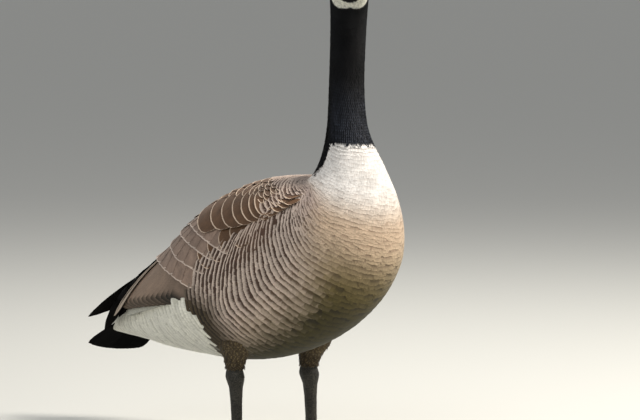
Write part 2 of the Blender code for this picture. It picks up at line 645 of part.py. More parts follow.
def build_leg(side, letter, body):
    x, ahead = side * LEG_OUT, side * LEG_STEP + LEG_AHEAD
    thigh = loft("thigh_" + letter, leg_rings(THIGH, side, 18), BROWN)
    clear_of(thigh, *body)
    tarsus = loft("leg_" + letter, leg_rings(TARSUS, side, 12), BLACK)
    base = Vector((x, -(ahead + 0.004), 0))
    knuckle = ball("foot_" + letter, base + Vector((0, 0.001, 0.0082)), (0.0104, 0.0122, 0.0072), 12, 6, BLACK)
    foot, pieces, headings = knuckle, [], []
    for number, (degrees, length, half, height) in enumerate(TOES):
        turn = math.radians((degrees + LEG_YAW[side]) * side)
        heading = Vector((math.sin(turn), -math.cos(turn), 0))
        headings.append((heading, length))
        pieces.append(loft("toe", toe_rings(base, heading, length, half, height)))
        claw(f"claw_{letter}_{number + 1}", base + heading * length, heading, height * 0.36)
    pieces.append(web(base, headings[0], headings[1]))
    pieces.append(web(base, headings[1], headings[2]))
    turn = math.radians(HIND_TOE + LEG_YAW[side]) * side
    back = Vector((math.sin(turn), -math.cos(turn), 0))
    pieces.append(loft("toe", hind_rings(base, back)))
    boolean(foot, pieces, "UNION")
    claw(f"claw_{letter}_4", base + back * HIND_LONG, back, 0.0026, 0.0065, 0.0006)
    clear_of(tarsus, foot)
    return thigh


def centre_on_floor():
    """Moves the bird so that the origin is under the middle of its box, and smooths its shading."""
    made = [o for o in bpy.context.scene.objects if o.type == "MESH"]
    corners = np.array([v.co for o in made for v in o.data.vertices])
    low, high = corners.min(axis=0), corners.max(axis=0)
    shift = Vector((-(low[0] + high[0]) / 2, -(low[1] + high[1]) / 2, -low[2]))
    for thing in made:
        for vertex in thing.data.vertices:
            vertex.co += shift
        thing.data.shade_smooth()
        thing.data.set_sharp_from_angle(angle=math.radians(40))


def main():
    for thing in list(bpy.data.objects):
        bpy.data.objects.remove(thing)
    body = build_body()
    build_eyes(body["head"])
    build_bill(body["head"])
    flesh = [body["breast"], body["torso"], body["rump"]]
    tail = build_tail(body["rump"])
    beside_wing = flesh + [tail, body["neck_lower"]]
    for side, letter in ((-1, "r"), (1, "l")):
        beside_wing.append(build_wing(side, "wing_" + letter, beside_wing))
        build_leg(side, letter, flesh)
    centre_on_floor()


main()
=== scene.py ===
import math

import bmesh
import bpy
import numpy as np
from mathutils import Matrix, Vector
from mathutils.kdtree import KDTree


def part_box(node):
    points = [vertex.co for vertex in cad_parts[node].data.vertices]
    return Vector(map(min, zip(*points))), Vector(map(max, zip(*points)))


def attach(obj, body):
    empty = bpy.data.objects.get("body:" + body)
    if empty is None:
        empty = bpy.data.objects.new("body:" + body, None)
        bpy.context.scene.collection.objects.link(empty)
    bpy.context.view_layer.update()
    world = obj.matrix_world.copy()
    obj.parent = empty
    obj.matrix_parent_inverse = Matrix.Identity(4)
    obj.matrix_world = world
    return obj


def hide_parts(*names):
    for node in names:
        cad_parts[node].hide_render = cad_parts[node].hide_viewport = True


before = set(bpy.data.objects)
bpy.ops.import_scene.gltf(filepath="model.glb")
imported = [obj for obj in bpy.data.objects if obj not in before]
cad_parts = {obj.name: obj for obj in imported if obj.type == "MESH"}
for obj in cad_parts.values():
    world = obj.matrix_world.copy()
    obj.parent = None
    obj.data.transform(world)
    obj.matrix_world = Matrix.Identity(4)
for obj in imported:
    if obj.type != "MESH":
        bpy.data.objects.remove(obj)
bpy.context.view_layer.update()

bpy.ops.object.select_all(action="DESELECT")
dice = np.random.default_rng(23)


def linear(hexColour):
    # sRGB hex to the linear values that a shader takes
    channels = [int(hexColour[i:i + 2], 16) / 255 for i in (1, 3, 5)]
    return tuple(c / 12.92 if c <= 0.04045 else ((c + 0.055) / 1.055) ** 2.4 for c in channels)


def opaque(hexColour):
    return (*linear(hexColour), 1)


def smoothStep(x):
    x = np.clip(x, 0, 1)
    return x * x * (3 - 2 * x)


def mixed(a, b, share):
    share = np.asarray(share, float)[..., None]
    return np.asarray(a) * (1 - share) + np.asarray(b) * share


def dot(a, b):
    return (a * b).sum(-1)


def unit(a):
    return a / np.maximum(np.linalg.norm(a, axis=-1, keepdims=True), 1e-12)


def pairs(table, x):
    return np.interp(x, [p[0] for p in table], [p[1] for p in table])


def fed(tree, node, inputs):
    # Each input takes a value, the socket that feeds it, or another node by its first output
    for key, value in inputs.items():
        if isinstance(value, bpy.types.Node):
            value = value.outputs[0]
        if isinstance(value, bpy.types.NodeSocket):
            tree.links.new(value, node.inputs[key])
        else:
            node.inputs[key].default_value = value
    return node


def addNode(tree, kind, inputs=None, **settings):
    # One shader node, with what feeds it and its own settings
    node = tree.nodes.new("ShaderNode" + kind)
    for key, value in settings.items():
        setattr(node, key, value)
    return fed(tree, node, inputs or {})


def startMaterial(name, roughness, ior=1.5, **sockets):
    # The material, its tree and shader, and the object coordinates that its patterns read
    made = bpy.data.materials.new(name)
    made.use_nodes = True
    tree = made.node_tree
    values = {key.replace("_", " "): value for key, value in sockets.items()}
    shader = fed(tree, tree.nodes["Principled BSDF"], {"Roughness": roughness, "IOR": ior, **values})
    return made, tree, shader, addNode(tree, "TexCoord").outputs["Object"]


def newObject(name, data):
    made = bpy.data.objects.new(name, data)
    bpy.context.scene.collection.objects.link(made)
    return made


def makeActive(*things):
    bpy.ops.object.select_all(action="DESELECT")
    for thing in things:
        thing.select_set(True)
    bpy.context.view_layer.objects.active = things[-1]


def joined(*things):
    makeActive(*things)
    bpy.ops.object.join()
    return bpy.context.view_layer.objects.active


def applied(thing, kind, **settings):
    makeActive(thing)
    change = thing.modifiers.new(kind.lower(), kind)
    for key, value in settings.items():
        setattr(change, key, value)
    bpy.ops.object.modifier_apply(modifier=change.name)


def editAll(thing, work):
    # Runs edit-mode operators on a whole mesh
    makeActive(thing)
    bpy.ops.object.mode_set(mode="EDIT")
    bpy.ops.mesh.select_all(action="SELECT")
    work()
    bpy.ops.object.mode_set(mode="OBJECT")


def placeApplied(thing):
    # The object goes to the origin and its place into its mesh
    makeActive(thing)
    bpy.ops.object.transform_apply(location=True, rotation=True, scale=True)


def places(mesh, normals=False):
    values = np.empty(len(mesh.vertices) * 3, np.float32)
    if normals:
        mesh.vertex_normals.foreach_get("vector", values)
    else:
        mesh.vertices.foreach_get("co", values)
    return values.reshape(-1, 3).astype(float)


def setPlaces(mesh, co):
    mesh.vertices.foreach_set("co", np.asarray(co, np.float32).ravel())
    mesh.update()


def nodeCopies(name, nodes):
    # The CAD nodes' meshes as one new object, their loose triangles merged
    copies = []
    for node in nodes:
        copy = newObject(name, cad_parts[node].data.copy())
        copy.data.materials.clear()
        copies.append(copy)
    made = joined(*copies) if len(copies) > 1 else copies[0]
    made.name = made.data.name = name
    editAll(made, lambda: bpy.ops.mesh.remove_doubles(threshold=0.00001))
    return made


def dressed(thing, material, replaced=()):
    # One material, the body that the piece rides on and the CAD nodes it stands in for
    thing.data.materials.clear()
    thing.data.materials.append(material)
    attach(thing, "root")
    if replaced:
        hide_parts(*replaced)


# The goose's outline, as sections from the bill's root to the tail, in metres before it is centred:
# back line ahead and up, belly line ahead and up, half width, widest level as a share of the height
bodySections = np.array([
    (0.1960, 0.6840, 0.1900, 0.6550, 0.0135, 0.50), (0.1870, 0.6945, 0.1810, 0.6485, 0.0190, 0.48),
    (0.1690, 0.7040, 0.1705, 0.6415, 0.0250, 0.45), (0.1450, 0.7065, 0.1655, 0.6320, 0.0275, 0.45),
    (0.1215, 0.6960, 0.1645, 0.6180, 0.0275, 0.48), (0.1130, 0.6680, 0.1645, 0.6000, 0.0260, 0.50),
    (0.1125, 0.6150, 0.1625, 0.5700, 0.0245, 0.50), (0.1125, 0.5350, 0.1615, 0.5200, 0.0245, 0.50),
    (0.1100, 0.4620, 0.1705, 0.4600, 0.0285, 0.50), (0.1010, 0.4170, 0.1985, 0.4050, 0.0440, 0.50),
    (0.0870, 0.3930, 0.2130, 0.3600, 0.0650, 0.52), (0.0630, 0.3895, 0.2170, 0.3120, 0.0855, 0.54),
    (0.0320, 0.3870, 0.2100, 0.2640, 0.1000, 0.55), (-0.0060, 0.3815, 0.1800, 0.2160, 0.1085, 0.55),
    (-0.0480, 0.3690, 0.1310, 0.1750, 0.1125, 0.54), (-0.0920, 0.3485, 0.0750, 0.1460, 0.1130, 0.53),
    (-0.1360, 0.3190, 0.0130, 0.1270, 0.1070, 0.52), (-0.1760, 0.2860, -0.0530, 0.1190, 0.0940, 0.52),
    (-0.2120, 0.2530, -0.1200, 0.1205, 0.0760, 0.52), (-0.2440, 0.2240, -0.1850, 0.1240, 0.0590, 0.52),
    (-0.2700, 0.2020, -0.2400, 0.1315, 0.0480, 0.50), (-0.2900, 0.1820, -0.2840, 0.1360, 0.0390, 0.50),
    (-0.3060, 0.1620, -0.3060, 0.1385, 0.0300, 0.50)])
# The folded wings leave the body behind section 18 and go on along their own
wingSections = np.vstack([bodySections[:18], [
    (-0.2120, 0.2600, -0.1300, 0.1150, 0.0840, 0.52), (-0.2500, 0.2330, -0.2000, 0.1180, 0.0700, 0.52),
    (-0.2850, 0.2080, -0.2620, 0.1160, 0.0580, 0.52), (-0.3180, 0.1850, -0.3150, 0.1100, 0.0470, 0.52),
    (-0.3500, 0.1650, -0.3580, 0.1040, 0.0380, 0.52), (-0.3850, 0.1460, -0.3920, 0.0980, 0.0300, 0.52)]])
goose = {
    "headTurn": math.radians(46), "turnFrom": 8.5, "turnTo": 4.5, "neckAxis": 0.143,
    # Where the flank feathers lie over the folded wing: section, degrees from the back's midline
    "wingEdge": ((11.0, 50), (11.9, 56), (12.3, 61), (12.8, 72), (13.5, 74), (15.5, 77), (15.9, 86),
                 (16.4, 93), (19.4, 98)),
    "wingFront": ((0, 12.5), (8, 12.3), (30, 11.6), (54, 11.1), (66, 11.0)),  # degrees, section
    # Where the white behind the flank starts: degrees, section
    "ventEdge": ((60, 16.5), (94, 16.45), (106, 16.3), (116, 16.45), (138, 16.8), (168, 17.4), (180, 17.5)),
    # Rows of feathers are named by their section at the belly and sweep forward over the flank by this much
    "rowSweep": ((10, 0.1), (12.3, 1.05), (13.4, 0.95), (15.5, 1.5), (16.3, 1.0), (17.3, 0.35)),
    "sweepBelow": 116, "sweepOver": 36, "sweepMost": 1.3, "sweepBend": 1.6,  # degrees, share, power
    "legOut": 0.050, "legStep": 0.027, "legAhead": -0.003, "legYaw": {-1: 12, 1: -5},
}
# Feathered part of a leg from the body down: up, half width across, half width along, ahead, outside
thighSections = np.array([
    (0.185, 0.0180, 0.0240, 0.008, 0.002), (0.170, 0.0190, 0.0260, 0.008, 0.002),
    (0.152, 0.0225, 0.0290, 0.006, 0.004), (0.139, 0.0205, 0.0240, 0.003, 0.003),
    (0.126, 0.0158, 0.0180, -0.001, 0.001), (0.1150, 0.0128, 0.0150, -0.003, 0.0),
    (0.1080, 0.0126, 0.0150, -0.003, 0.0)])


def sectionAt(t, table):
    padded = np.vstack([2 * table[0] - table[1], table, 2 * table[-1] - table[-2]])
    i = np.clip(np.floor(t).astype(int), 0, len(table) - 2)
    u = (t - i)[..., None]
    p0, p1, p2, p3 = padded[i], padded[i + 1], padded[i + 2], padded[i + 3]
    return 0.5 * (2 * p1 + (p2 - p0) * u + (2 * p0 - 5 * p1 + 4 * p2 - p3) * u**2
                  + (3 * p1 - p0 - 3 * p2 + p3) * u**3)


centring = np.zeros(3)


def bodyPoint(t, degrees, table=bodySections):
    # A place on the outline: section, and degrees from the back's midline (0) to the belly's (180 or -180)
    t, degrees = np.broadcast_arrays(np.asarray(t, float), np.asarray(degrees, float))
    row = sectionAt(t, table)
    back, belly, half, widest = row[..., 0:2], row[..., 2:4], row[..., 4], row[..., 5:6]
    middle = belly + (back - belly) * widest
    turn = np.radians(degrees)
    reach = np.cos(turn)[..., None]
    level = np.where(reach >= 0, middle + (back - middle) * reach, middle + (belly - middle) * -reach)
    across, ahead, up = half * np.sin(turn), level[..., 0], level[..., 1]
    angle = goose["headTurn"] * smoothStep((goose["turnFrom"] - t) / (goose["turnFrom"] - goose["turnTo"]))
    ahead = ahead - goose["neckAxis"]
    x = across * np.cos(angle) - ahead * np.sin(angle)
    y = across * np.sin(angle) + ahead * np.cos(angle)
    return np.stack([x, -(y + goose["neckAxis"]), up], -1) + centring


def wingPoint(t, degrees):
    return bodyPoint(t, degrees, wingSections)


def thighPoint(side):
    def point(t, degrees):
        t, degrees = np.broadcast_arrays(np.asarray(t, float), np.asarray(degrees, float))
        up, wide, long, ahead, out = (np.interp(t, range(len(thighSections)), column)
                                      for column in thighSections.T)
        yaw, turn = math.radians(goose["legYaw"][side] * side), np.radians(degrees)
        x, y = side * out + wide * np.cos(turn), ahead + long * np.sin(turn)
        x, y = x * math.cos(yaw) + y * math.sin(yaw), y * math.cos(yaw) - x * math.sin(yaw)
        return np.stack([side * goose["legOut"] + x,
                         -(side * goose["legStep"] + goose["legAhead"] + y), up], -1) + centring
    return point


def surfaceFrame(surface, t, degrees):
    # Metres per section, metres per degree, and the way out
    along = (surface(t + 0.03, degrees) - surface(t - 0.03, degrees)) / 0.06
    around = (surface(t, degrees + 1.0) - surface(t, degrees - 1.0)) / 2
    return along, around, unit(np.cross(around, along))


def inSections(step, along, around):
    # A step in metres as sections and degrees
    aa, bb, ab = dot(along, along), dot(around, around), dot(along, around)
    sa, sb = dot(step, along), dot(step, around)
    under = np.maximum(aa * bb - ab * ab, 1e-16)
    return (sa * bb - sb * ab) / under, (sb * aa - sa * ab) / under


# The model was centred on the floor, so the neck's box gives how far it was moved
neckLow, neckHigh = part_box("neck_upper")
neckRings = bodyPoint(np.linspace(5, 7, 21)[:, None], np.linspace(0, 360, 73)[None, :])
centring = np.array([*((np.array(neckLow) + np.array(neckHigh)) / 2
                       - (neckRings.min((0, 1)) + neckRings.max((0, 1))) / 2)[:2], 0.0])


def rowLean(degrees):
    share = (goose["sweepBelow"] - np.abs(degrees)) / goose["sweepOver"]
    return np.clip(share, 0, goose["sweepMost"]) ** goose["sweepBend"]


def rowSection(row, degrees):
    # The section of a row's place, which lies further ahead the higher it is on the flank
    return row - pairs(goose["rowSweep"], row) * rowLean(degrees)


def rowOf(t, degrees):
    # The row that passes through a place, closed in on in steps
    lean = rowLean(degrees)
    row = t + 0.5 * lean
    for _ in range(20):
        row = 0.5 * row + 0.5 * (t + pairs(goose["rowSweep"], row) * lean)
    return row


# Colours of the feathers, each pair as the inner part and the tip
plumage = {
    # lilac: the breast's sides, partly their own grey and partly painted shade
    "throat": ("#d2ccc6", "#dedad5"), "breast": ("#a68f79", "#bfa88f"), "lilac": ("#6c5e57", "#948580"),
    # lowBreast: its own tan under painted shade and a painted green reflection; belly: painted shade and a
    # painted green reflection
    "lowBreast": ("#5d5030", "#7b6c41"), "belly": ("#1e1a03", "#332d0a"),
    "flank": ("#45332a", "#c2b1a4"), "side": ("#5c4538", "#c2ae9f"), "mantle": ("#55443b", "#8d7d73"),
    "flankEnd": ("#1e180e", "#463a28"), "white": ("#cfcdbf", "#e6e4d8"),
    # The pair for the neck's foot is a painted blue-grey sheen on black feathers
    "black": ("#050506", "#0d0e10"), "paintedNeckSheen": ("#1a1c22", "#333740"), "rump": ("#1d1712", "#2b231c"),
    "scapular": ("#624731", "#d8c0a8"), "covert": ("#917b6c", "#d4c1b2"),
    # Secondaries darken at their tips and towards the lowest feather: painted shade along the wing's lower
    # edge
    "secondary": ("#95806f", "#4a3f32"), "lowSecondaryPaintedShade": ("#7a685a", "#1f1a12"),
    "primary": ("#0b0908", "#141110"), "stripe": ("#0b0908", "#b3a494"),
    "tail": ("#050505", "#0b0a0a"), "thigh": ("#4c402f", "#7d6d4c"),
}
plumage = {name: (np.array(linear(a)), np.array(linear(b))) for name, (a, b) in plumage.items()}


def blackEnd(degrees):
    # Where the neck's black stocking ends: it runs furthest down the nape
    d = np.abs(degrees)
    return 8.42 + 1.2 * smoothStep((82 - d) / 28) + 0.25 * smoothStep((50 - d) / 50)


def cheekWhite(t, degrees):
    # The white cheek patch and chin strap, as a share from 0 to 1
    d = np.abs(degrees)
    front = 1.95 + 0.24 * smoothStep((d - 118) / 62) - 0.35 * np.exp(-((d - 105) / 30) ** 2)
    rear = 3.75 - 0.62 * smoothStep((d - 120) / 60) - 0.12 * np.exp(-((d - 180) / 8) ** 2)
    top = 62 + 10 * np.abs(t - 2.9)
    return smoothStep((t - front) / 0.12) * smoothStep((rear - t) / 0.12) * smoothStep((d - top) / 6)


def markings(t, degrees):
    # The colours of a feather's inner part and tip, and the tip's share of what shows
    t, d = np.broadcast_arrays(np.asarray(t, float), np.abs(np.asarray(degrees, float)))
    row = rowOf(t, d)
    inner, outer = (np.broadcast_to(c, t.shape + (3,)) for c in plumage["throat"])

    def paint(name, cover):
        nonlocal inner, outer
        inner, outer = mixed(inner, plumage[name][0], cover), mixed(outer, plumage[name][1], cover)

    paint("breast", smoothStep((row - 9.5) / 1.5))
    # The breast's sides turn grey-lilac: partly their own tone, partly painted shade
    paint("lilac", smoothStep((row - 9.7) / 1.3) * smoothStep((118 - d) / 36) * 0.9)
    # Painted shade and a painted green reflection from below darken the lower breast and the belly
    paint("lowBreast", smoothStep((row - 10.9) / 2.2) * smoothStep((d - 96) / 54))
    paint("belly", smoothStep((row - 11.5) / 2.4) * smoothStep((d - 112) / 44))
    flankLow = pairs(((11, 74), (12, 90), (13.5, 106), (16, 112)), row)
    barred = smoothStep((row - 10.6) / 2.4) * (1 - smoothStep((d - flankLow) / 48))
    paint("flank", barred)
    paint("mantle", smoothStep((t - 9.9) / 0.5) * smoothStep((66 - d) / 14))
    overEdge = smoothStep((pairs(goose["wingEdge"], t) + 26 - d) / 20)
    beside = smoothStep((t - 10.7) / 0.6) * overEdge * (t < 15.5)
    paint("side", beside * smoothStep((14.6 - t) / 1.5) * 0.9)
    paint("flankEnd", smoothStep((t - pairs(goose["ventEdge"], d) + 1.1) / 0.9) * smoothStep((d - 80) / 16))
    paint("rump", smoothStep((t - 16.9) / 0.5) * smoothStep((46 - d) / 16))
    white = smoothStep((t - pairs(goose["ventEdge"], d) - 0.04) / 0.04) * (d > 56)
    paint("white", np.maximum(white, smoothStep((t - 19.2) / 0.2)))
    black = smoothStep((blackEnd(d) - t) / 0.04)
    paint("black", black)
    # A painted blue-grey sheen on the front and sides of the black neck's foot
    paint("paintedNeckSheen", black * smoothStep((t - 6.7) / 1.3) * smoothStep((d - 60) / 40))
    paint("white", cheekWhite(t, d))
    return inner, outer, 0.62 - 0.10 * barred - 0.22 * beside


# Outlines of a feather: share of the length, share of the width
vaneShapes = {
    "body": ((0, 0.40), (0.25, 0.72), (0.50, 0.92), (0.74, 1.0), (0.90, 0.98), (1, 0.90)),
    "tuft": ((0, 0.45), (0.40, 1.0), (0.75, 0.72), (1, 0.16)),
    "wing": ((0, 0.44), (0.16, 0.70), (0.34, 0.88), (0.52, 0.98), (0.68, 1.0), (0.82, 1.0), (0.93, 0.97),
             (1, 0.92)),
    "tail": ((0, 0.70), (0.16, 0.80), (0.34, 0.90), (0.55, 1.0), (0.74, 1.0), (0.88, 0.96), (0.96, 0.84),
             (1, 0.62)),
    "quill": ((0, 0.42), (0.12, 0.62), (0.28, 0.80), (0.45, 0.92), (0.62, 1.0), (0.76, 0.97), (0.88, 0.82),
              (0.96, 0.58), (1, 0.30)),
}


def featherTable(count, **columns):
    # One row for each feather: a single value stands for all of them
    made = {"bow": 0.0, "skew": 0.0, "tone": 0.06, "sideBand": 0.0, "tilt": 0.0, "patchU": 0.003,
            "patchV": 0.003, **columns}
    for key, value in made.items():
        size = (count, 3) if key in ("inner", "outer") else (count,)
        made[key] = np.broadcast_to(np.asarray(value, float), size).copy()
    return made


def some(table, mask):
    return {key: value[mask] for key, value in table.items()}


def writeVectors(mesh, name, values):
    attribute = mesh.attributes.new(name, "FLOAT_VECTOR", "POINT")
    attribute.data.foreach_set("vector", values.astype(np.float32).ravel())


def writeColours(mesh, name, rgb):
    attribute = mesh.attributes.new(name, "FLOAT_COLOR", "POINT")
    attribute.data.foreach_set("color", np.c_[rgb, np.ones(len(rgb))].astype(np.float32).ravel())


def layFeathers(name, surface, f, shape, columns, rounding, thick, ragged=0.0, hollow=0.012):
    # One joined mesh of closed vanes. Each has a top and an underside that meet in a thin rim.
    share, width = np.array(vaneShapes[shape]).T
    across = np.linspace(-1, 1, columns)
    if columns > 7:  # large feathers have their narrowest faces at the sides
        across = np.sin(np.linspace(-math.pi / 2, math.pi / 2, columns))
    rows, count = len(share), len(f["t1"])
    column = {key: value[:, None, None] for key, value in f.items() if value.ndim == 1}
    s, c, w = share[None, :, None], across[None, None, :], width[None, :, None]
    far = s * (1 - rounding * (0.45 * c ** 2 + 0.55 * c ** 8)) + column["skew"] * c * s
    if ragged:
        far = far + ragged * dice.uniform(-1, 1, (count, 1, columns)) * (s > 0.8)
    t = column["t0"] + (column["t1"] - column["t0"]) * far
    degrees = column["d0"] + (column["d1"] - column["d0"]) * far + column["bow"] * 4 * s * (1 - s)
    along, around, out = surfaceFrame(surface, t, degrees)
    slope = (column["d1"] - column["d0"]) + column["bow"] * 4 * (1 - 2 * s) + 0 * t
    axis = unit(along * (column["t1"] - column["t0"])[..., None] + around * slope[..., None])
    sideT, sideD = inSections(np.cross(out, axis), along, around)
    half = column["wide"] / 2 * w
    offset = half * c
    path = surface(t, degrees)[:, :, columns // 2]
    t, degrees = t + sideT * offset, degrees + sideD * offset
    place = surface(t, degrees)
    out = surfaceFrame(surface, t, degrees)[2]
    lift = column["low"] + (column["high"] - column["low"]) * s ** 1.3 + column["tilt"] * c * w
    lift = lift + hollow * column["wide"] * (1 - c ** 2)
    body = thick * (1 - 0.75 * s)
    top = place + out * lift[..., None]
    low = (place + out * (lift - body)[..., None])[:, 1:-1, 1:-1]
    points = np.concatenate([top.reshape(count, -1, 3), low.reshape(count, -1, 3)], 1)
    topIndex = np.arange(rows * columns).reshape(rows, columns)
    lowIndex = topIndex.copy()
    inside = (rows - 2, columns - 2)
    lowIndex[1:-1, 1:-1] = rows * columns + np.arange(inside[0] * inside[1]).reshape(inside)
    quads = []
    for index, facesOut in ((topIndex, True), (lowIndex, False)):
        a, b, c2, d = index[:-1, :-1], index[:-1, 1:], index[1:, 1:], index[1:, :-1]
        quads.append(np.stack([a, b, c2, d] if facesOut else [a, d, c2, b], -1).reshape(-1, 4))
    quads = np.concatenate(quads)
    perVane = points.shape[1]
    faces = (quads[None] + (np.arange(count) * perVane)[:, None, None]).reshape(-1, 4)
    length = np.linalg.norm(np.diff(path, axis=1), axis=-1).sum(1)
    lie = np.stack([(1 - s) * length[:, None, None] * 1000 + 0 * t, (half - np.abs(offset)) * 1000 + 0 * t,
                    offset * 1000 + 0 * t], -1)
    patch = np.stack([column["u"] + across / 2 * column["patchU"] + 0 * t,
                      column["v"] + (s - 0.5) * column["patchV"] + 0 * t], -1)

    def spread(values):
        # The values at the top's points, then those of the underside's own, vane after vane
        parts = [part.reshape(count, -1, values.shape[-1]) for part in (values, values[:, 1:-1, 1:-1])]
        return np.concatenate(parts, 1).reshape(count * perVane, -1)

    mesh = bpy.data.meshes.new(name)
    mesh.vertices.add(count * perVane)
    mesh.vertices.foreach_set("co", points.astype(np.float32).ravel())
    mesh.loops.add(faces.size)
    mesh.loops.foreach_set("vertex_index", faces.astype(np.int32).ravel())
    mesh.polygons.add(len(faces))
    mesh.polygons.foreach_set("loop_start", np.arange(0, faces.size, 4, dtype=np.int32))
    mesh.update(calc_edges=True)
    mesh.validate()
    writeVectors(mesh, "lie", spread(lie))
    bands = np.stack([f["tipBand"], f["sideBand"], dice.random(count) * 50], -1)
    writeVectors(mesh, "bands", np.repeat(bands, perVane, 0))
    tone = 1 + f["tone"][:, None] * dice.uniform(-1, 1, (count, 1))
    for key in ("inner", "outer"):
        writeColours(mesh, key, np.repeat(np.clip(f[key] * tone, 0, 1), perVane, 0))
    uv = mesh.uv_layers.new(name="OFBake")
    uv.data.foreach_set("uv", spread(patch)[faces.ravel()].astype(np.float32).ravel())
    made = newObject(name, mesh)
    mesh.shade_smooth()
    mesh.set_sharp_from_angle(angle=math.radians(70))
    print(name, count, "vanes", 2 * len(faces), "triangles")
    return made


def placesAlong(surface, t, degrees, spacing, shift=0.0, jitter=0.0):
    # Even places along a line on the shape, with the line's direction there
    path = surface(t, degrees)
    length = np.r_[0, np.cumsum(np.linalg.norm(np.diff(path, axis=0), axis=1))]
    count = max(1, round(length[-1] / spacing))
    at = (np.arange(count) + shift + jitter * dice.uniform(-1, 1, count)) * length[-1] / count
    slope = unit(np.gradient(path, axis=0))
    direction = unit(np.stack([np.interp(at, length, slope[:, k]) for k in range(3)], -1))
    return np.interp(at, length, t), np.interp(at, length, degrees), direction, length[-1] / count


def rootsOf(surface, t, degrees, direction, long, lean=0.0):
    # A feather lies square to its row, give or take some degrees, with its root its length ahead of its tip
    along, around, out = surfaceFrame(surface, t, degrees)
    heading = np.cross(out, direction)
    heading = heading * np.sign(dot(heading, along))[..., None]
    turn = np.radians(lean + 0 * t)[..., None]
    heading = heading * np.cos(turn) + np.cross(out, heading) * np.sin(turn)
    stepT, stepD = inSections(heading, along, around)
    return t - stepT * long, degrees - stepD * long


def featherMaterial(name, roughness, barb, bump, sheen, wobble=0.16, shaft=0.0, soft=0.25, mottle=0.10,
                    gloss=0.25, loose=False, edge=0.0, streaks=0.15):
    # Feather keratin, combed into vanes: matt, streaked along its barbs, with a paler tip or fringe.
    # Real barbs are 0.3 mm apart, too fine to show, so they are drawn barb mm apart.
    made, tree, shader, place = startMaterial(name, roughness, 1.54, Sheen_Weight=sheen, Sheen_Roughness=0.5,
                                              Specular_IOR_Level=gloss)
    lie, bands, inner, outer = (addNode(tree, "Attribute", attribute_name=key)
                                for key in ("lie", "bands", "inner", "outer"))
    # Millimetres from the tip, from the nearer side and from the shaft, then the bands' widths in the same
    fromTip, fromSide, fromShaft = addNode(tree, "SeparateXYZ", {0: lie.outputs["Vector"]}).outputs
    tipBand, sideBand, chance = addNode(tree, "SeparateXYZ", {0: bands.outputs["Vector"]}).outputs
    distance = addNode(tree, "Math", {0: fromShaft}, operation="ABSOLUTE")
    # Barbs of a firm vane leave its shaft at a slant, and the loose ones of body feathers lie along it
    fineWay, longWay = fromShaft, fromTip
    if not loose:
        fineWay = addNode(tree, "Math", {0: distance, 1: 0.8, 2: fromTip}, operation="MULTIPLY_ADD")
        longWay = fromShaft
    away = addNode(tree, "Math", {0: longWay, 1: 0.12, 2: chance}, operation="MULTIPLY_ADD")
    barbs = addNode(tree, "CombineXYZ", {"X": fineWay, "Y": away})
    fine = addNode(tree, "TexNoise", {"Vector": barbs, "Scale": 1 / barb, "Detail": 2.0, "Roughness": 0.6},
                   noise_dimensions="2D")
    blotch = addNode(tree, "TexNoise", {"Vector": place, "Scale": 60.0, "Detail": 3.0})  # 17 mm apart
    # The edge of the tip's band wanders by a share of its width
    shake = addNode(tree, "Math", {0: fine, 1: wobble * 2, 2: -wobble}, operation="MULTIPLY_ADD")
    masks = []
    for at, band in ((fromTip, tipBand), (fromSide, sideBand)):
        wide = addNode(tree, "Math", {0: band, 1: 0.001}, operation="MAXIMUM")
        over = addNode(tree, "Math", {0: at, 1: wide}, operation="DIVIDE")
        moved = addNode(tree, "Math", {0: over, 1: shake}, operation="ADD")
        masks.append(addNode(tree, "MapRange", {"Value": moved, "From Min": 1 + soft, "From Max": 1 - soft},
                             interpolation_type="SMOOTHSTEP"))
    tip = addNode(tree, "Math", {0: masks[0], 1: masks[1]}, operation="MAXIMUM")
    colour = addNode(tree, "Mix", {"Factor": tip, 6: inner, 7: outer}, data_type="RGBA")
    # What the colour is multiplied by: streaks and blotches, a painted highlight on the tip's last barbs and
    # a darker shaft
    shades = [
        {"Value": fine, "From Min": 0.25, "From Max": 0.75, "To Min": 1 - streaks, "To Max": 1 + streaks},
        {"Value": blotch, "From Min": 0.3, "From Max": 0.7, "To Min": 1 - mottle, "To Max": 1 + mottle}]
    # Painted highlight: the tip's last millimetres paler, like a thin edge catching light
    if edge:
        shades.append({"Value": fromTip, "From Min": edge * 0.5, "From Max": edge * 1.4, "To Min": 1.14})
    if shaft:
        shades.append({"Value": distance, "From Min": shaft * 0.6, "From Max": shaft, "To Min": 0.78})
    factor = 1.0
    for shade in shades:
        ranged = addNode(tree, "MapRange", shade)
        factor = addNode(tree, "Math", {0: factor, 1: ranged}, operation="MULTIPLY")
    tinted = addNode(tree, "VectorMath", {0: colour.outputs[2], "Scale": factor}, operation="SCALE")
    height = addNode(tree, "Bump", {"Height": fine, "Strength": bump, "Distance": 0.0004})
    fed(tree, shader, {"Base Color": tinted, "Normal": height})
    return made


# The edge setting paints a highlight along these feathers' tips
barredFeather = featherMaterial("Contour feather keratin, brushed flat and barred", roughness=0.80, barb=1.5,
                                bump=0.2, sheen=0.10, soft=0.6, wobble=0.7, loose=True, edge=0.8,
                                streaks=0.24)
downyFeather = featherMaterial("White contour feather keratin, loose and soft", roughness=0.88, barb=1.3,
                               bump=0.2, sheen=0.15, mottle=0.05, loose=True)
neckFeather = featherMaterial("Black neck feather keratin, short and velvety", roughness=0.65, barb=0.7,
                              bump=0.3, sheen=0.02, mottle=0.3, gloss=0.14)
wingFeather = featherMaterial("Brown wing feather keratin, zipped vane", roughness=0.66, barb=1.0, bump=0.25,
                              sheen=0.06, shaft=0.35, mottle=0.2, soft=0.4, wobble=0.3)
panelFeather = featherMaterial("Brown secondary feather keratin, painted shade to black", roughness=0.66, barb=1.0,
                               bump=0.25, sheen=0.04, shaft=0.4, soft=0.9)
flightFeather = featherMaterial("Blackish flight feather keratin, stiff and smooth", roughness=0.75,
                                barb=0.8, bump=0.2, sheen=0.0, shaft=0.7, gloss=0.02)


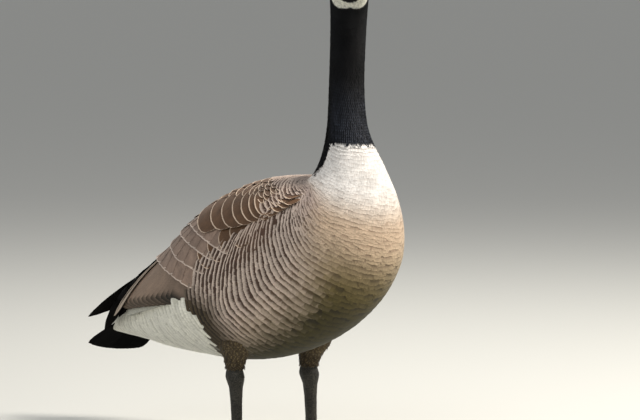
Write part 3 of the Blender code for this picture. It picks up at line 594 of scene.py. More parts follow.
def skinMaterial():
    # Down-covered skin, which shows only as shade between the feathers: the same markings, darkened a little
    # as painted shade
    made, tree, shader, place = startMaterial("Down over skin, matt", 0.9, Sheen_Weight=0.1,
                                              Specular_IOR_Level=0.2)
    colour = addNode(tree, "Attribute", attribute_name="marking")
    fluff = addNode(tree, "TexNoise", {"Vector": place, "Scale": 700.0, "Detail": 3.0})  # 1.4 mm apart
    shade = addNode(tree, "MapRange", {"Value": fluff, "From Min": 0.3, "From Max": 0.7, "To Min": 0.5,
                                      "To Max": 0.85})
    tinted = addNode(tree, "VectorMath", {0: colour, "Scale": shade}, operation="SCALE")
    height = addNode(tree, "Bump", {"Height": fluff, "Strength": 0.5, "Distance": 0.0006})
    fed(tree, shader, {"Base Color": tinted, "Normal": height})
    return made


def scaleMaterial(name, pale, dark, scaleMm, roughness):
    # Horny leg skin of small six-sided scales: dark, paler on the scales' tops and darker in the grooves
    # between them
    made, tree, shader, place = startMaterial(name, roughness, Specular_IOR_Level=0.35)
    cells = addNode(tree, "TexVoronoi", {"Vector": place, "Scale": 1000 / scaleMm},
                    feature="DISTANCE_TO_EDGE")
    each = addNode(tree, "TexVoronoi", {"Vector": place, "Scale": 1000 / scaleMm})
    worn = addNode(tree, "TexNoise", {"Vector": place, "Scale": 45.0, "Detail": 4.0})  # 22 mm apart
    groove = addNode(tree, "MapRange", {"Value": cells, "From Min": 0.02, "From Max": 0.16})
    eachTone = addNode(tree, "SeparateColor", {0: each.outputs["Color"]})
    tone = addNode(tree, "Math", {0: eachTone, 1: 0.35}, operation="MULTIPLY")
    mottled = addNode(tree, "Math", {0: worn, 1: 0.9, 2: tone}, operation="MULTIPLY_ADD")
    lit = addNode(tree, "Math", {0: mottled, 1: groove}, operation="MULTIPLY")
    colour = addNode(tree, "Mix", {"Factor": lit, 6: opaque(dark), 7: opaque(pale)}, data_type="RGBA")
    height = addNode(tree, "Bump", {"Height": groove, "Strength": 0.6, "Distance": 0.0003})
    fed(tree, shader, {"Base Color": colour.outputs[2], "Normal": height})
    return made


def hornMaterial(name, dark, pale, roughness, grainMm):
    # Smooth horn, grown in thin layers: nearly black, a low shine, faint streaks and scuffs
    made, tree, shader, place = startMaterial(name, roughness, 1.55)
    grain = addNode(tree, "TexNoise", {"Vector": place, "Scale": 1000 / grainMm, "Detail": 5.0,
                                      "Roughness": 0.65})
    colour = addNode(tree, "Mix", {"Factor": grain, 6: opaque(dark), 7: opaque(pale)}, data_type="RGBA")
    dull = addNode(tree, "MapRange", {"Value": grain, "To Min": roughness - 0.12, "To Max": roughness + 0.14})
    height = addNode(tree, "Bump", {"Height": grain, "Strength": 0.25, "Distance": 0.0002})
    fed(tree, shader, {"Base Color": colour.outputs[2], "Roughness": dull, "Normal": height})
    return made


def corneaMaterial(dark, pale):
    # Wet cornea over a dark brown iris: very smooth, almost black, with fibres 1.1 mm apart
    made, tree, shader, place = startMaterial("Cornea over dark brown iris, wet", 0.04, 1.38,
                                              Coat_Weight=1.0, Coat_Roughness=0.02)
    fibres = addNode(tree, "TexNoise", {"Vector": place, "Scale": 900.0, "Detail": 3.0})
    colour = addNode(tree, "Mix", {"Factor": fibres, 6: opaque(dark), 7: opaque(pale)}, data_type="RGBA")
    fed(tree, shader, {"Base Color": colour.outputs[2]})
    return made


legSkin = scaleMaterial("Horny leg skin, scaled", "#4f4b40", "#131210", scaleMm=2.2, roughness=0.55)
clawHorn = hornMaterial("Claw horn, worn", "#12110f", "#2e2a26", roughness=0.38, grainMm=1.5)
billHorn = hornMaterial("Bill horn, smooth", "#060607", "#121214", roughness=0.46, grainMm=2.5)
lidSkin = hornMaterial("Bare eyelid skin, black and finely wrinkled", "#050505", "#1c1a19", roughness=0.55,
                       grainMm=0.6)
eyeWet = corneaMaterial("#070504", "#1e120a")
print("materials made")

# The skin: the flesh nodes, the folded wings' bodies and the tail's root as one surface under the coat
skinSizes = {
    "voxel": 0.0026, "smooth": 8, "wingProud": 0.0012, "wingDeep": 0.012, "wingEnd": 19.45,
    # How deep it lies under the outline, by section and where the thighs' feathers end
    "deep": ((3.5, 0.0012), (5, 0.0020), (8, 0.0020), (9.5, 0.0032)), "thighEnd": 0.125, "thighDeep": 0.0018,
    "cuffTop": 0.126, "cuffLow": 0.1095, "cuffHalf": 0.0134,
    "tailSides": 32, "tailRings": 8, "tailFrom": 19.0, "tailTo": 21.7,
}


def wingPad(side, along=44, across=18):
    # A folded wing's body as a curved slab: a grid laid on the shape, then given its thickness
    bpy.ops.mesh.primitive_grid_add(x_subdivisions=along, y_subdivisions=across, size=2)
    pad = bpy.context.object
    co = places(pad.data)
    lengthwise, down = (co[:, 0] + 1) / 2, (co[:, 1] + 1) / 2
    front = pairs(goose["wingFront"], 6 + 50 * down) + 0.25
    t = front + (skinSizes["wingEnd"] - front) * lengthwise
    degrees = side * (5 + (pairs(goose["wingEdge"], t) - 7) * down)
    out = surfaceFrame(wingPoint, t, degrees)[2]
    setPlaces(pad.data, wingPoint(t, degrees) + out * skinSizes["wingProud"])
    face = pad.data.polygons[along * across // 2]
    if face.normal.dot(Vector(out[face.vertices[0]])) < 0:
        pad.data.flip_normals()
    applied(pad, "SOLIDIFY", thickness=skinSizes["wingDeep"], offset=-1)
    return pad


def tailRoot():
    # The stump that the tail grows from: a cylinder whose rings are moved to the shape's sections
    size = skinSizes
    bpy.ops.mesh.primitive_cylinder_add(vertices=size["tailSides"], radius=1, depth=1)
    stump = bpy.context.object
    work = bmesh.new()
    work.from_mesh(stump.data)
    upright = [e for e in work.edges if abs(e.verts[0].co.z - e.verts[1].co.z) > 0.5]
    bmesh.ops.subdivide_edges(work, edges=upright, cuts=size["tailRings"] - 2, use_grid_fill=True)
    for vertex in work.verts:
        t = np.array([size["tailFrom"] + (size["tailTo"] - size["tailFrom"]) * (vertex.co.z + 0.5)])
        degrees = np.array([math.degrees(math.atan2(vertex.co.x, vertex.co.y))])
        vertex.co = Vector(bodyPoint(t, degrees)[0])
    bmesh.ops.recalc_face_normals(work, faces=work.faces[:])
    work.to_mesh(stump.data)
    work.free()
    return stump


def legCuff(side):
    # Where the bare leg comes out of its feathers
    size = skinSizes
    middle = thighPoint(side)(np.array([5.0, 5.0]), np.array([0.0, 180.0])).mean(0)
    high, level = size["cuffTop"] - size["cuffLow"], (size["cuffTop"] + size["cuffLow"]) / 2
    bpy.ops.mesh.primitive_cylinder_add(vertices=24, radius=size["cuffHalf"], depth=high,
                                        location=(middle[0], middle[1], level))
    cuff = bpy.context.object
    placeApplied(cuff)
    return cuff


fleshNodes = ["head", "neck_upper", "neck_lower", "breast", "torso", "rump", "thigh_r", "thigh_l"]
skin = nodeCopies("skin", fleshNodes)
skin = joined(wingPad(-1), wingPad(1), tailRoot(), legCuff(-1), legCuff(1), skin)
applied(skin, "REMESH", mode="VOXEL", voxel_size=skinSizes["voxel"])
applied(skin, "SMOOTH", factor=0.5, iterations=skinSizes["smooth"])
gridT, gridD = np.meshgrid(np.arange(0, 22, 0.08), np.arange(-180, 180, 3.0), indexing="ij")
gridT, gridD = gridT.ravel(), gridD.ravel()
gridTree = KDTree(len(gridT))
for k, place in enumerate(bodyPoint(gridT, gridD)):
    gridTree.insert(place, k)
gridTree.balance()
nearest = np.array([gridTree.find(v.co)[1] for v in skin.data.vertices])
skinT, skinD = gridT[nearest], gridD[nearest]
skinPlaces = places(skin.data)
depth = np.where(skinPlaces[:, 2] < skinSizes["thighEnd"], skinSizes["thighDeep"],
                 pairs(skinSizes["deep"], skinT))
setPlaces(skin.data, skinPlaces - places(skin.data, normals=True) * depth[:, None])
inner, outer, share = markings(skinT, skinD)
skinColour = mixed(inner, outer, share * 0.5)
onLeg = smoothStep((0.150 - skinPlaces[:, 2]) / 0.015) * (np.abs(skinPlaces[:, 1] - centring[1]) < 0.09)
skinColour = mixed(skinColour, plumage["thigh"][0], onLeg)
writeColours(skin.data, "marking", skinColour)
skin.data.shade_smooth()
dressed(skin, skinMaterial(), fleshNodes)
print("skin made:", len(skin.data.polygons), "faces")

# The body's coat. Rows stand rowStep apart at the belly, in sections, and feathers spacing apart in metres.
coat = {
    "rows": (8.3, 21.9),
    "rowStep": ((8, 0.10), (10, 0.11), (11.5, 0.13), (13, 0.165), (15, 0.20), (15.6, 0.13), (17.2, 0.13),
                (20, 0.17)),
    "spacing": ((8, 0.0055), (10, 0.0074), (12, 0.0092), (15, 0.0112), (20, 0.0110)),
    "overRows": 2.7, "overNeighbours": 2.2,  # length in rows, width in feathers
    # Height of the roots and the tips over the shape: smooth on the breast, fuller on the flanks
    "root": ((8.5, -0.0022), (8.72, -0.0004), (9.1, -0.0002), (10.5, -0.0005), (12.5, -0.0013)),
    "tip": ((8.5, 0.0001), (10.5, 0.0001), (12.5, 0.0004)),
    "rough": ((8.5, 0.0001), (11, 0.0002), (12.5, 0.0004)),  # how much those heights vary
    "shortest": ((10, 0), (11.5, 0.02)),
    # How far the tips stray from their rows, in sections: by section, and by degrees on the belly
    "stray": ((8.5, 0.02), (9.2, 0.05), (11.4, 0.05), (12.2, 0.016), (16.6, 0.016), (17, 0.05)),
    "strayBelow": ((120, 0.0), (150, 0.05)),
    # Rows this many times closer than at the belly lose every second one, behind a section and above so
    # many degrees
    "crowding": 1.45, "crowdedFrom": 10.3, "crowdedTo": 104,
    # Where flank and shoulder feathers lie over the wing: section, degrees, and how much they rise there
    "overWing": ((11.0, 50), (12.4, 63), (14.0, 75), (15.5, 78), (16.4, 93)), "riseTip": 0.0036,
    "riseRoot": 0.0024,
}


def coatRows(surface, ends, step, spacing, section=lambda row, d: row + 0 * d, jitter=0.06, thin=False):
    # Feather tips in rows over the body, each row shifted by half a place against the last.
    # Where rows crowd on the body's side, only each second goes on.
    rows, row, number = [], ends[0], 0
    line = np.linspace(-180, 180, 721)
    while row < ends[1]:
        shift = 0.5 * (number % 2)
        t, d, direction, gap = placesAlong(surface, section(row, line), line, spacing(row), shift, jitter)
        ahead = section(row - step(row), d)
        shown = np.linalg.norm(surface(t, d) - surface(ahead, d), axis=1)
        tips = np.c_[t, d, direction, np.full(len(t), gap), shown]
        if thin:
            full = np.linalg.norm(surface(t, d) - surface(t - step(row), d), axis=1)
            crowded = (t > coat["crowdedFrom"]) & (np.abs(d) < coat["crowdedTo"])
            crowded &= full > coat["crowding"] * shown
            every = np.where(crowded, 2, 1)
            tips[:, 6] *= every
            tips = tips[number % every == 0]
        rows.append(tips)
        row += step(row)
        number += 1
    return np.concatenate(rows)


def coatTable(surface, tips, overRows, overNeighbours, low, high, colours, tone=0.06, lean=4.0, patch=0.0,
              shortest=0.0, rough=0.0004):
    # Turns rows of tips into a table of feathers that lie along the body
    t, d, direction, gap, shown = tips[:, 0], tips[:, 1], tips[:, 2:5], tips[:, 5], tips[:, 6]
    count = len(t)
    inner, outer, share = colours
    along, around, out = surfaceFrame(surface, t, d)
    square = np.abs(dot(unit(np.cross(out, direction)), unit(along)))
    shown = np.maximum(shown * np.maximum(square, 0.5), 0.002)
    long = np.maximum(shown * overRows, shortest) * dice.uniform(0.92, 1.08, count)
    t0, d0 = rootsOf(surface, t, d, direction, long, dice.uniform(-lean, lean, count))
    patchU = patch or gap / np.linalg.norm(around, axis=-1) / 360 * 0.9
    patchV = patch or shown / np.linalg.norm(along, axis=-1) / 22 * 0.9
    return featherTable(
        count, t0=t0, t1=t, d0=d0, d1=d, wide=gap * overNeighbours * dice.uniform(0.9, 1.1, count),
        low=low, high=high + rough * dice.uniform(-0.5, 0.5, count), tilt=rough * dice.uniform(-1, 1, count),
        inner=inner, outer=outer, tipBand=shown * share * 1000 * dice.uniform(0.78, 1.2, count), tone=tone,
        u=(d0 + 180) / 360, v=t0 / 22, patchU=patchU, patchV=patchV)


tips = coatRows(bodyPoint, coat["rows"], lambda row: float(pairs(coat["rowStep"], row)),
                lambda row: float(pairs(coat["spacing"], row)), rowSection, thin=True)
t, d = tips[:, 0], np.abs(tips[:, 1])
wingLow = pairs(goose["wingEdge"], t) + np.where(t > 17.9, -12, 0)
underWing = ((d > 9) | (t < 17.4)) & (d < wingLow) & (t > pairs(goose["wingFront"], d) + 0.35) & (t < 17.7)
tips = tips[~underWing & (t > blackEnd(d) - 0.05)]
t, d = tips[:, 0], np.abs(tips[:, 1])
stray = np.maximum(pairs(coat["stray"], t), pairs(coat["strayBelow"], d) * (t > 9.4))
tips[:, 0] += stray * dice.uniform(-1, 1, len(tips))
body = coatTable(bodyPoint, tips, coat["overRows"], coat["overNeighbours"], pairs(coat["root"], t),
                 pairs(coat["tip"], t), markings(np.maximum(t, blackEnd(d) + 0.01), d), tone=0.07,
                 shortest=pairs(coat["shortest"], t), rough=pairs(coat["rough"], t))


def overWing(t, d):
    # Flank and shoulder feathers lie over the edge of the wing: a share of the rise at each place
    above = smoothStep((pairs(coat["overWing"], t) + 22 - np.abs(d)) / 18)
    return above * smoothStep((t - 10.1) / 0.7) * smoothStep((17.2 - t) / 0.4)


body["high"] += coat["riseTip"] * overWing(body["t1"], body["d1"])
body["low"] += coat["riseRoot"] * overWing(body["t0"], body["d0"])
side, vent = np.sign(tips[:, 1]), (t > pairs(goose["ventEdge"], d)) & (d > 56) | (t > 19.0)
coatParts = {
    "breastCoat": (t < 12.3) & (d > 84) & ~vent,
    "shoulderCoat": (t < 12.3) & (d <= 84) & ~vent,
    "flankCoatR": (t >= 12.3) & ~vent & (side < 0) & (d < 140) & (d > 30),
    "flankCoatL": (t >= 12.3) & ~vent & (side > 0) & (d < 140) & (d > 30),
    "bellyCoat": (t >= 12.3) & ~vent & (d >= 140),
    "backCoat": (t >= 12.3) & ~vent & (d <= 30),
    "ventCoat": vent,
}
for name, mask in coatParts.items():
    material, slot = barredFeather, "body_plumage"
    if name == "ventCoat":
        material, slot = downyFeather, "white_plumage"
    piece = layFeathers(name, bodyPoint, some(body, mask), "body", columns=7, rounding=0.04, thick=0.0004,
                        ragged=0.024 if "flank" in name else 0.045)
    dressed(piece, material)

thighCoat = {"rows": (1.2, 6.0), "rowStep": 0.22, "spacing": 0.0052, "overRows": 3.6, "overNeighbours": 1.9,
             "root": -0.0024, "tip": 0.0006, "lean": 16}
for thighSide, letter in ((-1, "R"), (1, "L")):
    shape = thighPoint(thighSide)
    tips = coatRows(shape, thighCoat["rows"], lambda row: thighCoat["rowStep"],
                    lambda row: thighCoat["spacing"], jitter=0.3)
    count = len(tips)
    low = smoothStep((tips[:, 0] - 3.2) / 1.8)
    inner, outer = plumage["thigh"]
    outer = mixed(outer, inner, low * 0.3) * dice.uniform(0.7, 1.1, (count, 1))
    colours = (mixed(inner, inner * 0.5, low * 0.6), outer, np.full(count, 0.4))
    table = coatTable(shape, tips, thighCoat["overRows"], thighCoat["overNeighbours"], thighCoat["root"],
                      thighCoat["tip"], colours, tone=0.22, lean=thighCoat["lean"], patch=0.003)
    table["high"] += dice.uniform(-0.0004, 0.0010, count)
    piece = layFeathers("thighCoat" + letter, shape, table, "tuft", columns=5, rounding=0.1, thick=0.0004,
                        ragged=0.06)
    dressed(piece, barredFeather)

# Neck and head: short tufts, smallest on the face, none on the eyes. Rows are in sections, tufts and the
# gap under which rows lose some of them in metres.
tufts = {
    "neckRows": (4.7, 10.2), "neckRow": 0.064, "neckTuft": 0.0029, "neckGap": 0.0026,
    "headRows": (0.18, 4.8), "headRow": 0.078, "headTuft": 0.0018, "headGap": 0.0014,
    "eyeClear": 0.0066,
}


def tuftRows(part):
    # Rows crowd where the shape turns sharply, so tips are dropped there
    tips = coatRows(bodyPoint, tufts[part + "Rows"], lambda row: tufts[part + "Row"],
                    lambda row: tufts[part + "Tuft"])
    return tips[dice.random(len(tips)) < np.clip(tips[:, 6] / tufts[part + "Gap"], 0.12, 1)]


tips = tuftRows("neck")
tips = tips[tips[:, 0] < blackEnd(tips[:, 1]) + dice.uniform(-0.04, 0.05, len(tips))]
colours = markings(np.minimum(tips[:, 0], blackEnd(tips[:, 1]) - 0.06), tips[:, 1])
table = coatTable(bodyPoint, tips, overRows=3.4, overNeighbours=2.2, low=-0.0020, high=0.0005,
                  colours=colours, tone=0.25, patch=0.003, lean=8)
piece = layFeathers("neckCoat", bodyPoint, table, "tuft", columns=3, rounding=0.2, thick=0.0005, ragged=0.04)
dressed(piece, neckFeather)

eyes = {name: np.array(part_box(name)).mean(0) for name in ("eye_r", "eye_l")}
tips = tuftRows("head")
headPlaces = bodyPoint(tips[:, 0], tips[:, 1])
fromEyes = np.min([np.linalg.norm(headPlaces - eye, axis=1) for eye in eyes.values()], axis=0)
tips = tips[fromEyes > tufts["eyeClear"]]
colours = markings(tips[:, 0], tips[:, 1])
table = coatTable(bodyPoint, tips, overRows=2.6, overNeighbours=2.3, low=-0.0010, high=0.0004,
                  colours=colours, tone=0.2, patch=0.003)
onCheek = cheekWhite(tips[:, 0], tips[:, 1]) > 0.5
for name, mask, material, slot in (("headCoat", ~onCheek, neckFeather, "black_plumage"),
                                   ("cheekCoat", onCheek, downyFeather, "white_plumage")):
    piece = layFeathers(name, bodyPoint, some(table, mask), "tuft", columns=3, rounding=0.2, thick=0.0003,
                        ragged=0.04)
    dressed(piece, material)
print("coat made")

# Folded wings. Places are sections and degrees from the back's midline.
wing = {
    # The broad scapulars, by the section and degrees of each tip at its middle and their size as a share,
    # and their columns: degrees from there, width, sections behind, length, degrees turned down
    "scapularRows": ((12.60, 57, 0.68), (12.86, 57, 0.74), (13.18, 56, 0.82), (13.54, 54, 0.90),
                     (14.00, 51, 0.96), (14.50, 47, 1.0), (15.08, 42, 1.0)),
    "scapularColumns": ((-34, 0.068, 0.10, 0.060, 8), (0, 0.104, 0.0, 0.082, 20)),
    # The slim scapulars of the shoulder, in rows along the wing's front: degrees, width, degrees turned down
    "frontRows": 11, "frontStart": 0.30, "frontStep": 0.15, "frontShift": 7, "frontEnd": 12.7,
    "frontLong": 0.028, "frontHigh": 0.0032,
    "frontColumns": ((12, 0.036, 20), (28, 0.040, 30), (45, 0.042, 30), (62, 0.040, 24)),
    # The small plain feathers under the broad ones, then those that meet over the back. Each feather has
    # its degrees, width, length, degrees turned down and the height of its tip.
    "lowRows": (13.9, 14.3, 14.75, 15.2), "lowFeather": (77, 0.050, 0.050, 20, 0.0030),
    "backRows": (12.5, 12.85, 13.25, 13.7, 14.2, 14.75, 15.3, 15.9, 16.5, 17.1),
    "backFeather": (10, 0.052, 0.056, 3, 0.0034),
    # Lines that the tips of the covert rows make, as section and degrees, with their length and width
    "covertRows": ((((16.1, 22), (15.6, 36), (15.0, 58), (14.3, 82)), 0.050, 0.036),
                   (((16.35, 22), (16.0, 40), (15.5, 58), (14.8, 82)), 0.050, 0.038),
                   (((16.85, 22), (16.6, 40), (16.1, 62), (15.35, 85)), 0.055, 0.042),
                   (((17.8, 26), (17.3, 44), (16.8, 62), (15.9, 91)), 0.075, 0.046)),
    # How far apart coverts stand, as a share of their width, and how high the first row's tips are and
    # each further row's less
    "covertApart": 0.62, "covertHigh": 0.0041, "covertLower": 0.0003,
    # The fan of secondaries, from its top to its foot: sections and degrees of the roots and of the tips
    "secondaries": 15, "secondaryRoots": ((16.7, 16.0), (44, 78)),
    "secondaryTips": ((19.25, 16.75), (80, 91)), "secondaryWide": 0.034, "secondarySlant": 0.17,
    # Wing tips, as root section and degrees, tip section and degrees, width and bow: the near one stays
    # against the tail, the far one reaches past it
    "nearTip": ((16.6, 14, 20.50, 103, 0.018, -46), (16.6, 18, 20.34, 101, 0.018, -38),
                (16.6, 22, 20.18, 99, 0.018, -31), (16.6, 27, 20.00, 96, 0.018, -22),
                (16.6, 33, 19.70, 87, 0.012, -14), (16.6, 41, 19.60, 90, 0.018, -10)),
    "farTip": [(17.2, 14 + 5 * k, 22.6 - 0.22 * k, -20 + 8 * k, 0.028, 9) for k in range(6)],
}


def wingTable(side, count, name, **columns):
    inner, outer = plumage[name]
    cells = math.ceil(math.sqrt(count))  # each of these few large feathers has its own cell of the bake map
    k = np.arange(count)
    return featherTable(count, **{
        "inner": inner, "outer": outer, "low": -0.0020, "high": 0.0040, "tone": 0.08, "tilt": -side * 0.0006,
        "u": (k % cells + 0.5) / cells, "v": (k // cells + 0.5) / cells, "patchU": 0.85 / cells,
        "patchV": 0.85 / cells, **columns})


def scapulars(side):
    rows = [(row, *wing["lowFeather"]) for row in wing["lowRows"]]
    for number in range(wing["frontRows"]):
        for degrees, wide, turned in wing["frontColumns"]:
            degrees += wing["frontShift"] * (number % 2)
            t = float(pairs(goose["wingFront"], degrees)) + wing["frontStart"] + wing["frontStep"] * number
            if t < wing["frontEnd"]:
                rows.append((t, degrees, wide, wing["frontLong"], turned, wing["frontHigh"]))
    rows += [(row, *wing["backFeather"]) for row in wing["backRows"]]
    for row, middle, size in wing["scapularRows"]:
        for degrees, wide, behind, long, turned in wing["scapularColumns"]:
            long *= size * size if size < 0.95 else size
            high = 0.0042 if wide > 0.1 else 0.0030
            rows.append((row + behind, middle + degrees * size, wide * size, long, turned, high))
    t, degrees, wide, long, turned, high = np.array(rows).T
    t, degrees = t + dice.uniform(-0.03, 0.03, len(t)), side * degrees
    along, around, out = surfaceFrame(wingPoint, t, degrees)
    turn = np.radians(turned)[:, None]
    heading = unit(along) * np.cos(turn) - side * np.cross(out, unit(along)) * np.sin(turn)
    stepT, stepD = inSections(heading, along, around)
    sideBand = np.where(wide > 0.07, 1.2, np.where(high < 0.0031, 0.2, 0.6))
    return wingTable(side, len(t), "scapular", t0=t - stepT * long, t1=t, d0=degrees - stepD * long,
                     d1=degrees, wide=wide, high=high, tipBand=np.where(long > 0.03, 1.5, 1.1),
                     sideBand=sideBand)


def coverts(side):
    rows = []
    for number, (line, long, wide) in enumerate(wing["covertRows"]):
        share, knots = np.linspace(0, 1, 60), np.linspace(0, 1, len(line))
        t, d = (np.interp(share, knots, [p[k] for p in line]) for k in (0, 1))
        apart, shift = wide * wing["covertApart"], 0.5 - 0.25 * (number % 2)
        t, d, direction, gap = placesAlong(wingPoint, t, side * d, apart, shift)
        t0, d0 = rootsOf(wingPoint, t, d, direction, long)
        high = wing["covertHigh"] - wing["covertLower"] * number
        rows.append(np.stack([t0, t, d0, d, np.full(len(t), wide), np.full(len(t), high)], -1))
    t0, t1, d0, d1, wide, high = np.concatenate(rows).T
    return wingTable(side, len(t1), "covert", t0=t0, t1=t1, d0=d0, d1=d1, wide=wide, high=high, tipBand=1.6,
                     sideBand=0.0, tone=0.06, tilt=-side * 0.0003)


def secondaries(side):
    # Long feathers that fan out from under the coverts. Their slanted tips make the wing's lower edge.
    down = np.linspace(-0.16, 1, wing["secondaries"])
    ends = (*wing["secondaryRoots"], *wing["secondaryTips"])
    t0, d0, t1, d1 = (top + (foot - top) * down for top, foot in ends)
    table = wingTable(side, len(down), "secondary", t0=t0, t1=t1, d0=side * d0, d1=side * d1,
                      wide=wing["secondaryWide"], skew=side * wing["secondarySlant"], tilt=0.0, tone=0.03,
                      high=0.0019 - 0.0006 * down - 0.0012 * (down < 0), tipBand=5 + 4 * down, sideBand=0.1)
    # The lowest feathers darkened towards black: painted shade under the wing's edge
    paintedShade = smoothStep((down - 0.45) / 0.5)
    for j, key in enumerate(("inner", "outer")):
        table[key] = mixed(plumage["secondary"][j], plumage["lowSecondaryPaintedShade"][j], paintedShade)
    return table


def primaries(side):
    near = side < 0
    t0, d0, t1, d1, wide, bow = np.array(wing["nearTip" if near else "farTip"]).T
    table = wingTable(side, len(t0), "primary", t0=t0, t1=t1, d0=side * d0, d1=side * d1, wide=wide,
                      bow=side * bow, low=-0.0014 if near else -0.0030, tipBand=0.0)
    if near:  # a long feather lies along them, with a pale edge
        table["inner"][4], table["outer"][4] = plumage["stripe"]
        table["sideBand"][4], table["high"][4] = 4.5, 0.0062
        table["low"][5], table["high"][5] = -0.0030, 0.0018
    else:  # seen from the front, the far wing's tips stand on edge
        table["tilt"][:] = 0.008
    return table


# The layers of a wing: outline, columns, how round the tip is, thickness, how ragged the tip and how hollow
wingLayers = {
    "scapulars": (scapulars, wingFeather, "wing", 13, 0.26, 0.0007, 0.004, 0.012),
    "coverts": (coverts, wingFeather, "wing", 11, 0.05, 0.0006, 0.010, 0.006),
    "secondaries": (secondaries, panelFeather, "wing", 11, 0.07, 0.0003, 0.010, 0.0),
    "primaries": (primaries, flightFeather, "quill", 9, 0.10, 0.0012, 0.0, 0.012),
}
for side, node, letter in ((-1, "wing_r", "R"), (1, "wing_l", "L")):
    for name, (layer, material, *build) in wingLayers.items():
        piece = layFeathers(name + letter, wingPoint, layer(side), *build)
        dressed(piece, material, [node] if name == "primaries" else ())
print("wings made")

# Tail feathers, fanned a little from a line of roots across the stump
tail = {"feathers": 18, "long": 0.104, "wide": 0.027, "fan": 12.0, "roll": 12.0, "twist": 18.0,
        "root": (-0.262, 0.1712), "spread": 0.019, "droop": 37.0, "step": 0.0005, "shorter": 0.05,
        "farShorter": 0.12}


def tailPlane(k):
    # The plane of one tail feather: t is the share of its length, degrees stands for millimetres across
    share = 2 * k / (tail["feathers"] - 1) - 1
    droop, twist = math.radians(tail["droop"]), math.radians(tail["twist"])
    turn, roll = math.radians(tail["fan"] * share), math.radians(tail["roll"] * share)
    back = np.array((0, math.cos(droop), -math.sin(droop)))
    over = np.array((0, math.sin(droop), math.cos(droop)))
    across = np.array((math.cos(twist), 0, 0)) - over * math.sin(twist)
    over = np.cross(back, across) * -1
    root = np.array((0, -tail["root"][0], tail["root"][1])) + centring + across * tail["spread"] * share
    heading = back * math.cos(turn) + across * math.sin(turn)
    out = over * math.cos(roll) + across * math.sin(roll)
    out = unit(out - heading * out.dot(heading))
    across = np.cross(heading, out)
    long = tail["long"] * (1 - tail["shorter"] * share * share - tail["farShorter"] * max(share, 0))
    root = root - out * tail["step"] * abs(share) * tail["feathers"] / 2

    def surface(t, degrees):
        t, degrees = np.broadcast_arrays(np.asarray(t, float), np.asarray(degrees, float))
        return root + heading * long * t[..., None] + across * degrees[..., None] * 0.001
    return surface


pieces = []
for k in range(tail["feathers"]):
    inner, outer = plumage["tail"]
    table = featherTable(1, t0=0.0, t1=1.0, d0=0.0, d1=0.0, wide=tail["wide"], low=-0.0005, high=0.0005,
                         inner=inner, outer=outer, tipBand=0.6, sideBand=0.4, tone=0.1, u=(k % 5 + 0.5) / 5,
                         v=(k // 5 + 0.5) / 5, patchU=0.18, patchV=0.18)
    pieces.append(layFeathers("tailFeather", tailPlane(k), table, "tail", columns=9, rounding=0.10,
                              thick=0.0010, ragged=0.004))
fan = joined(*pieces)
fan.name = "tailFan"
dressed(fan, flightFeather, ["tail"])

# Bare legs and feet, with small scales raised from the skin
legSizes = {"voxel": 0.0011, "smooth": 4, "scale": 0.0022, "raised": 0.00035, "middle": 0.4}


def scaledLeg(letter):
    leg = nodeCopies("legSkin" + letter.upper(), ["leg_" + letter, "foot_" + letter])
    applied(leg, "REMESH", mode="VOXEL", voxel_size=legSizes["voxel"])
    applied(leg, "SMOOTH", factor=0.5, iterations=legSizes["smooth"])
    pattern = bpy.data.textures.new("legScales", "VORONOI")
    pattern.noise_scale = legSizes["scale"]
    applied(leg, "DISPLACE", texture=pattern, texture_coords="LOCAL", strength=-legSizes["raised"],
            mid_level=legSizes["middle"])
    leg.data.shade_smooth()
    dressed(leg, legSkin, ["leg_" + letter, "foot_" + letter])


for letter in ("r", "l"):
    scaledLeg(letter)
    for number in range(1, 5):
        node = f"claw_{letter}_{number}"
        claw = nodeCopies(f"claw{letter.upper()}{number}", [node])
        applied(claw, "SUBSURF", levels=2, render_levels=2)
        claw.data.shade_smooth()
        dressed(claw, clawHorn, [node])
print("legs and feet made")

# Eyes, lids and bill
eyeSizes = {"radius": 0.0062, "segments": 48, "rings": 24}
lidSizes = {"ring": 0.0050, "thick": 0.0009, "up": 0.0040, "stretch": (1.12, 0.95, 1.0), "wrinkles": 23,
            "wrinkle": 0.008}
for node, middle in eyes.items():
    bpy.ops.object.select_all(action="DESELECT")
    bpy.ops.mesh.primitive_uv_sphere_add(segments=eyeSizes["segments"], ring_count=eyeSizes["rings"],
                                         radius=eyeSizes["radius"], location=middle)
    eye = bpy.context.object
    eye.name = "eyeball" + node[-1].upper()
    placeApplied(eye)
    eye.data.shade_smooth()
    dressed(eye, eyeWet, [node])
    # The lids: a ring on the eye, squeezed to an almond and wrinkled along its length
    spot = gridTree.find(middle)[1]
    along, around, out = surfaceFrame(bodyPoint, gridT[spot:spot + 1], gridD[spot:spot + 1])
    out, along = Vector(out[0]), Vector(along[0]).normalized()
    bpy.ops.mesh.primitive_torus_add(major_radius=lidSizes["ring"], minor_radius=lidSizes["thick"],
                                     major_segments=64, minor_segments=16)
    lid = bpy.context.object
    lid.name = "lids" + node[-1].upper()
    side = out.cross(along).normalized()
    along = side.cross(out)
    co = places(lid.data)
    angle = np.arctan2(co[:, 1], co[:, 0])
    wrinkled = 1 + lidSizes["wrinkle"] * np.sin(lidSizes["wrinkles"] * angle)
    ring = np.array(lidSizes["stretch"]) * co * wrinkled[:, None]
    turned = ring @ np.array([along, side, out])
    setPlaces(lid.data, turned + np.array(middle) + np.array(out) * lidSizes["up"])
    lid.data.shade_smooth()
    dressed(lid, lidSkin)

billSizes = {"voxel": 0.0006, "smooth": 5, "swell": 0.0007}
for node in ("bill_upper", "bill_lower"):
    bill = nodeCopies("bill" + node[5:].capitalize(), [node])
    applied(bill, "REMESH", mode="VOXEL", voxel_size=billSizes["voxel"])
    applied(bill, "SMOOTH", factor=0.5, iterations=billSizes["smooth"])
    applied(bill, "DISPLACE", strength=billSizes["swell"], mid_level=0.0)
    bill.data.shade_smooth()
    dressed(bill, billHorn, [node])
print("head made")

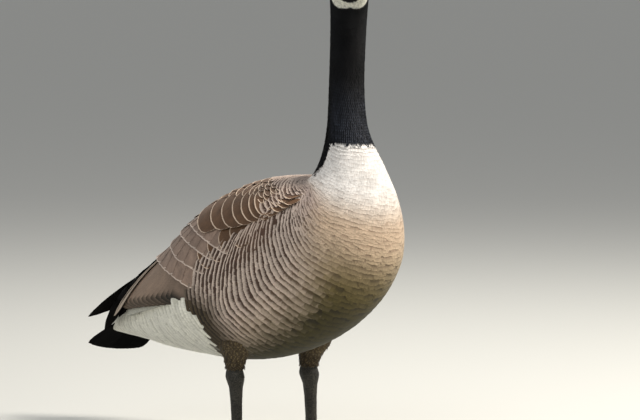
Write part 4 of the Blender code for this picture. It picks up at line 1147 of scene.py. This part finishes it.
# Floor, light and camera
bpy.ops.object.select_all(action="DESELECT")
bpy.ops.mesh.primitive_plane_add(size=60, location=(0, 0, 0))
floor = bpy.context.object
floor.name = "floor"
floor.data.materials.append(startMaterial("Pale painted floor, matt", 0.9, Base_Color=opaque("#cfcfca"))[0])

view = {"azimuth": -48.0, "elevation": 5.0, "distance": 5.0, "mmPerPixel": 1.45, "pixels": 640, "sensor": 36,
        "aimRight": 0.06525, "aimUp": 0.33785}
azimuth, elevation = math.radians(view["azimuth"]), math.radians(view["elevation"])
back = Vector((math.sin(azimuth) * math.cos(elevation), -math.cos(azimuth) * math.cos(elevation),
               math.sin(elevation)))
right = Vector((math.cos(azimuth), math.sin(azimuth), 0))
up = back.cross(right)
aim = Vector((centring[0], centring[1], 0)) + right * view["aimRight"] + up * view["aimUp"]
camera = newObject("camera", bpy.data.cameras.new("camera"))
camera.location = aim + back * view["distance"]
camera.rotation_mode = "QUATERNION"
camera.rotation_quaternion = (-back).to_track_quat("-Z", "Y")
camera.data.sensor_width = view["sensor"]
camera.data.lens = view["sensor"] * view["distance"] / (view["mmPerPixel"] / 1000 * view["pixels"])
camera.data.clip_end = 200
bpy.context.scene.camera = camera
bpy.context.scene.view_settings.view_transform = "Standard"

world = bpy.data.worlds.new("studio")
world.use_nodes = True
fed(world.node_tree, world.node_tree.nodes["Background"], {"Color": (0.84, 0.85, 0.86, 1), "Strength": 0.45})
bpy.context.scene.world = world

# Soft lamps: the way to each from the bird, as shares to the right, to the camera and up, then its size in
# metres, its watts and its colour
lampReach = 2.6
lamps = {
    "key": ((0.85, 0.20, 1.1), 0.9, 90, (1.0, 0.94, 0.86)),
    "fill": ((-0.6, 0.9, 0.6), 2.2, 14, (0.93, 0.96, 1.0)),
    "rim": ((0.1, -0.9, 1.1), 1.2, 22, (1.0, 0.98, 0.92)),
}
for name, ((aside, nearer, higher), size, watts, colour) in lamps.items():
    light = bpy.data.lights.new(name, "AREA")
    light.shape = "DISK"
    light.size, light.energy, light.color = size, watts, colour
    lamp = newObject(name, light)
    heading = (right * aside + back * nearer + Vector((0, 0, higher))).normalized()
    lamp.location = aim + heading * lampReach
    lamp.rotation_mode = "QUATERNION"
    lamp.rotation_quaternion = heading.to_track_quat("Z", "Y")

print("scene ready")
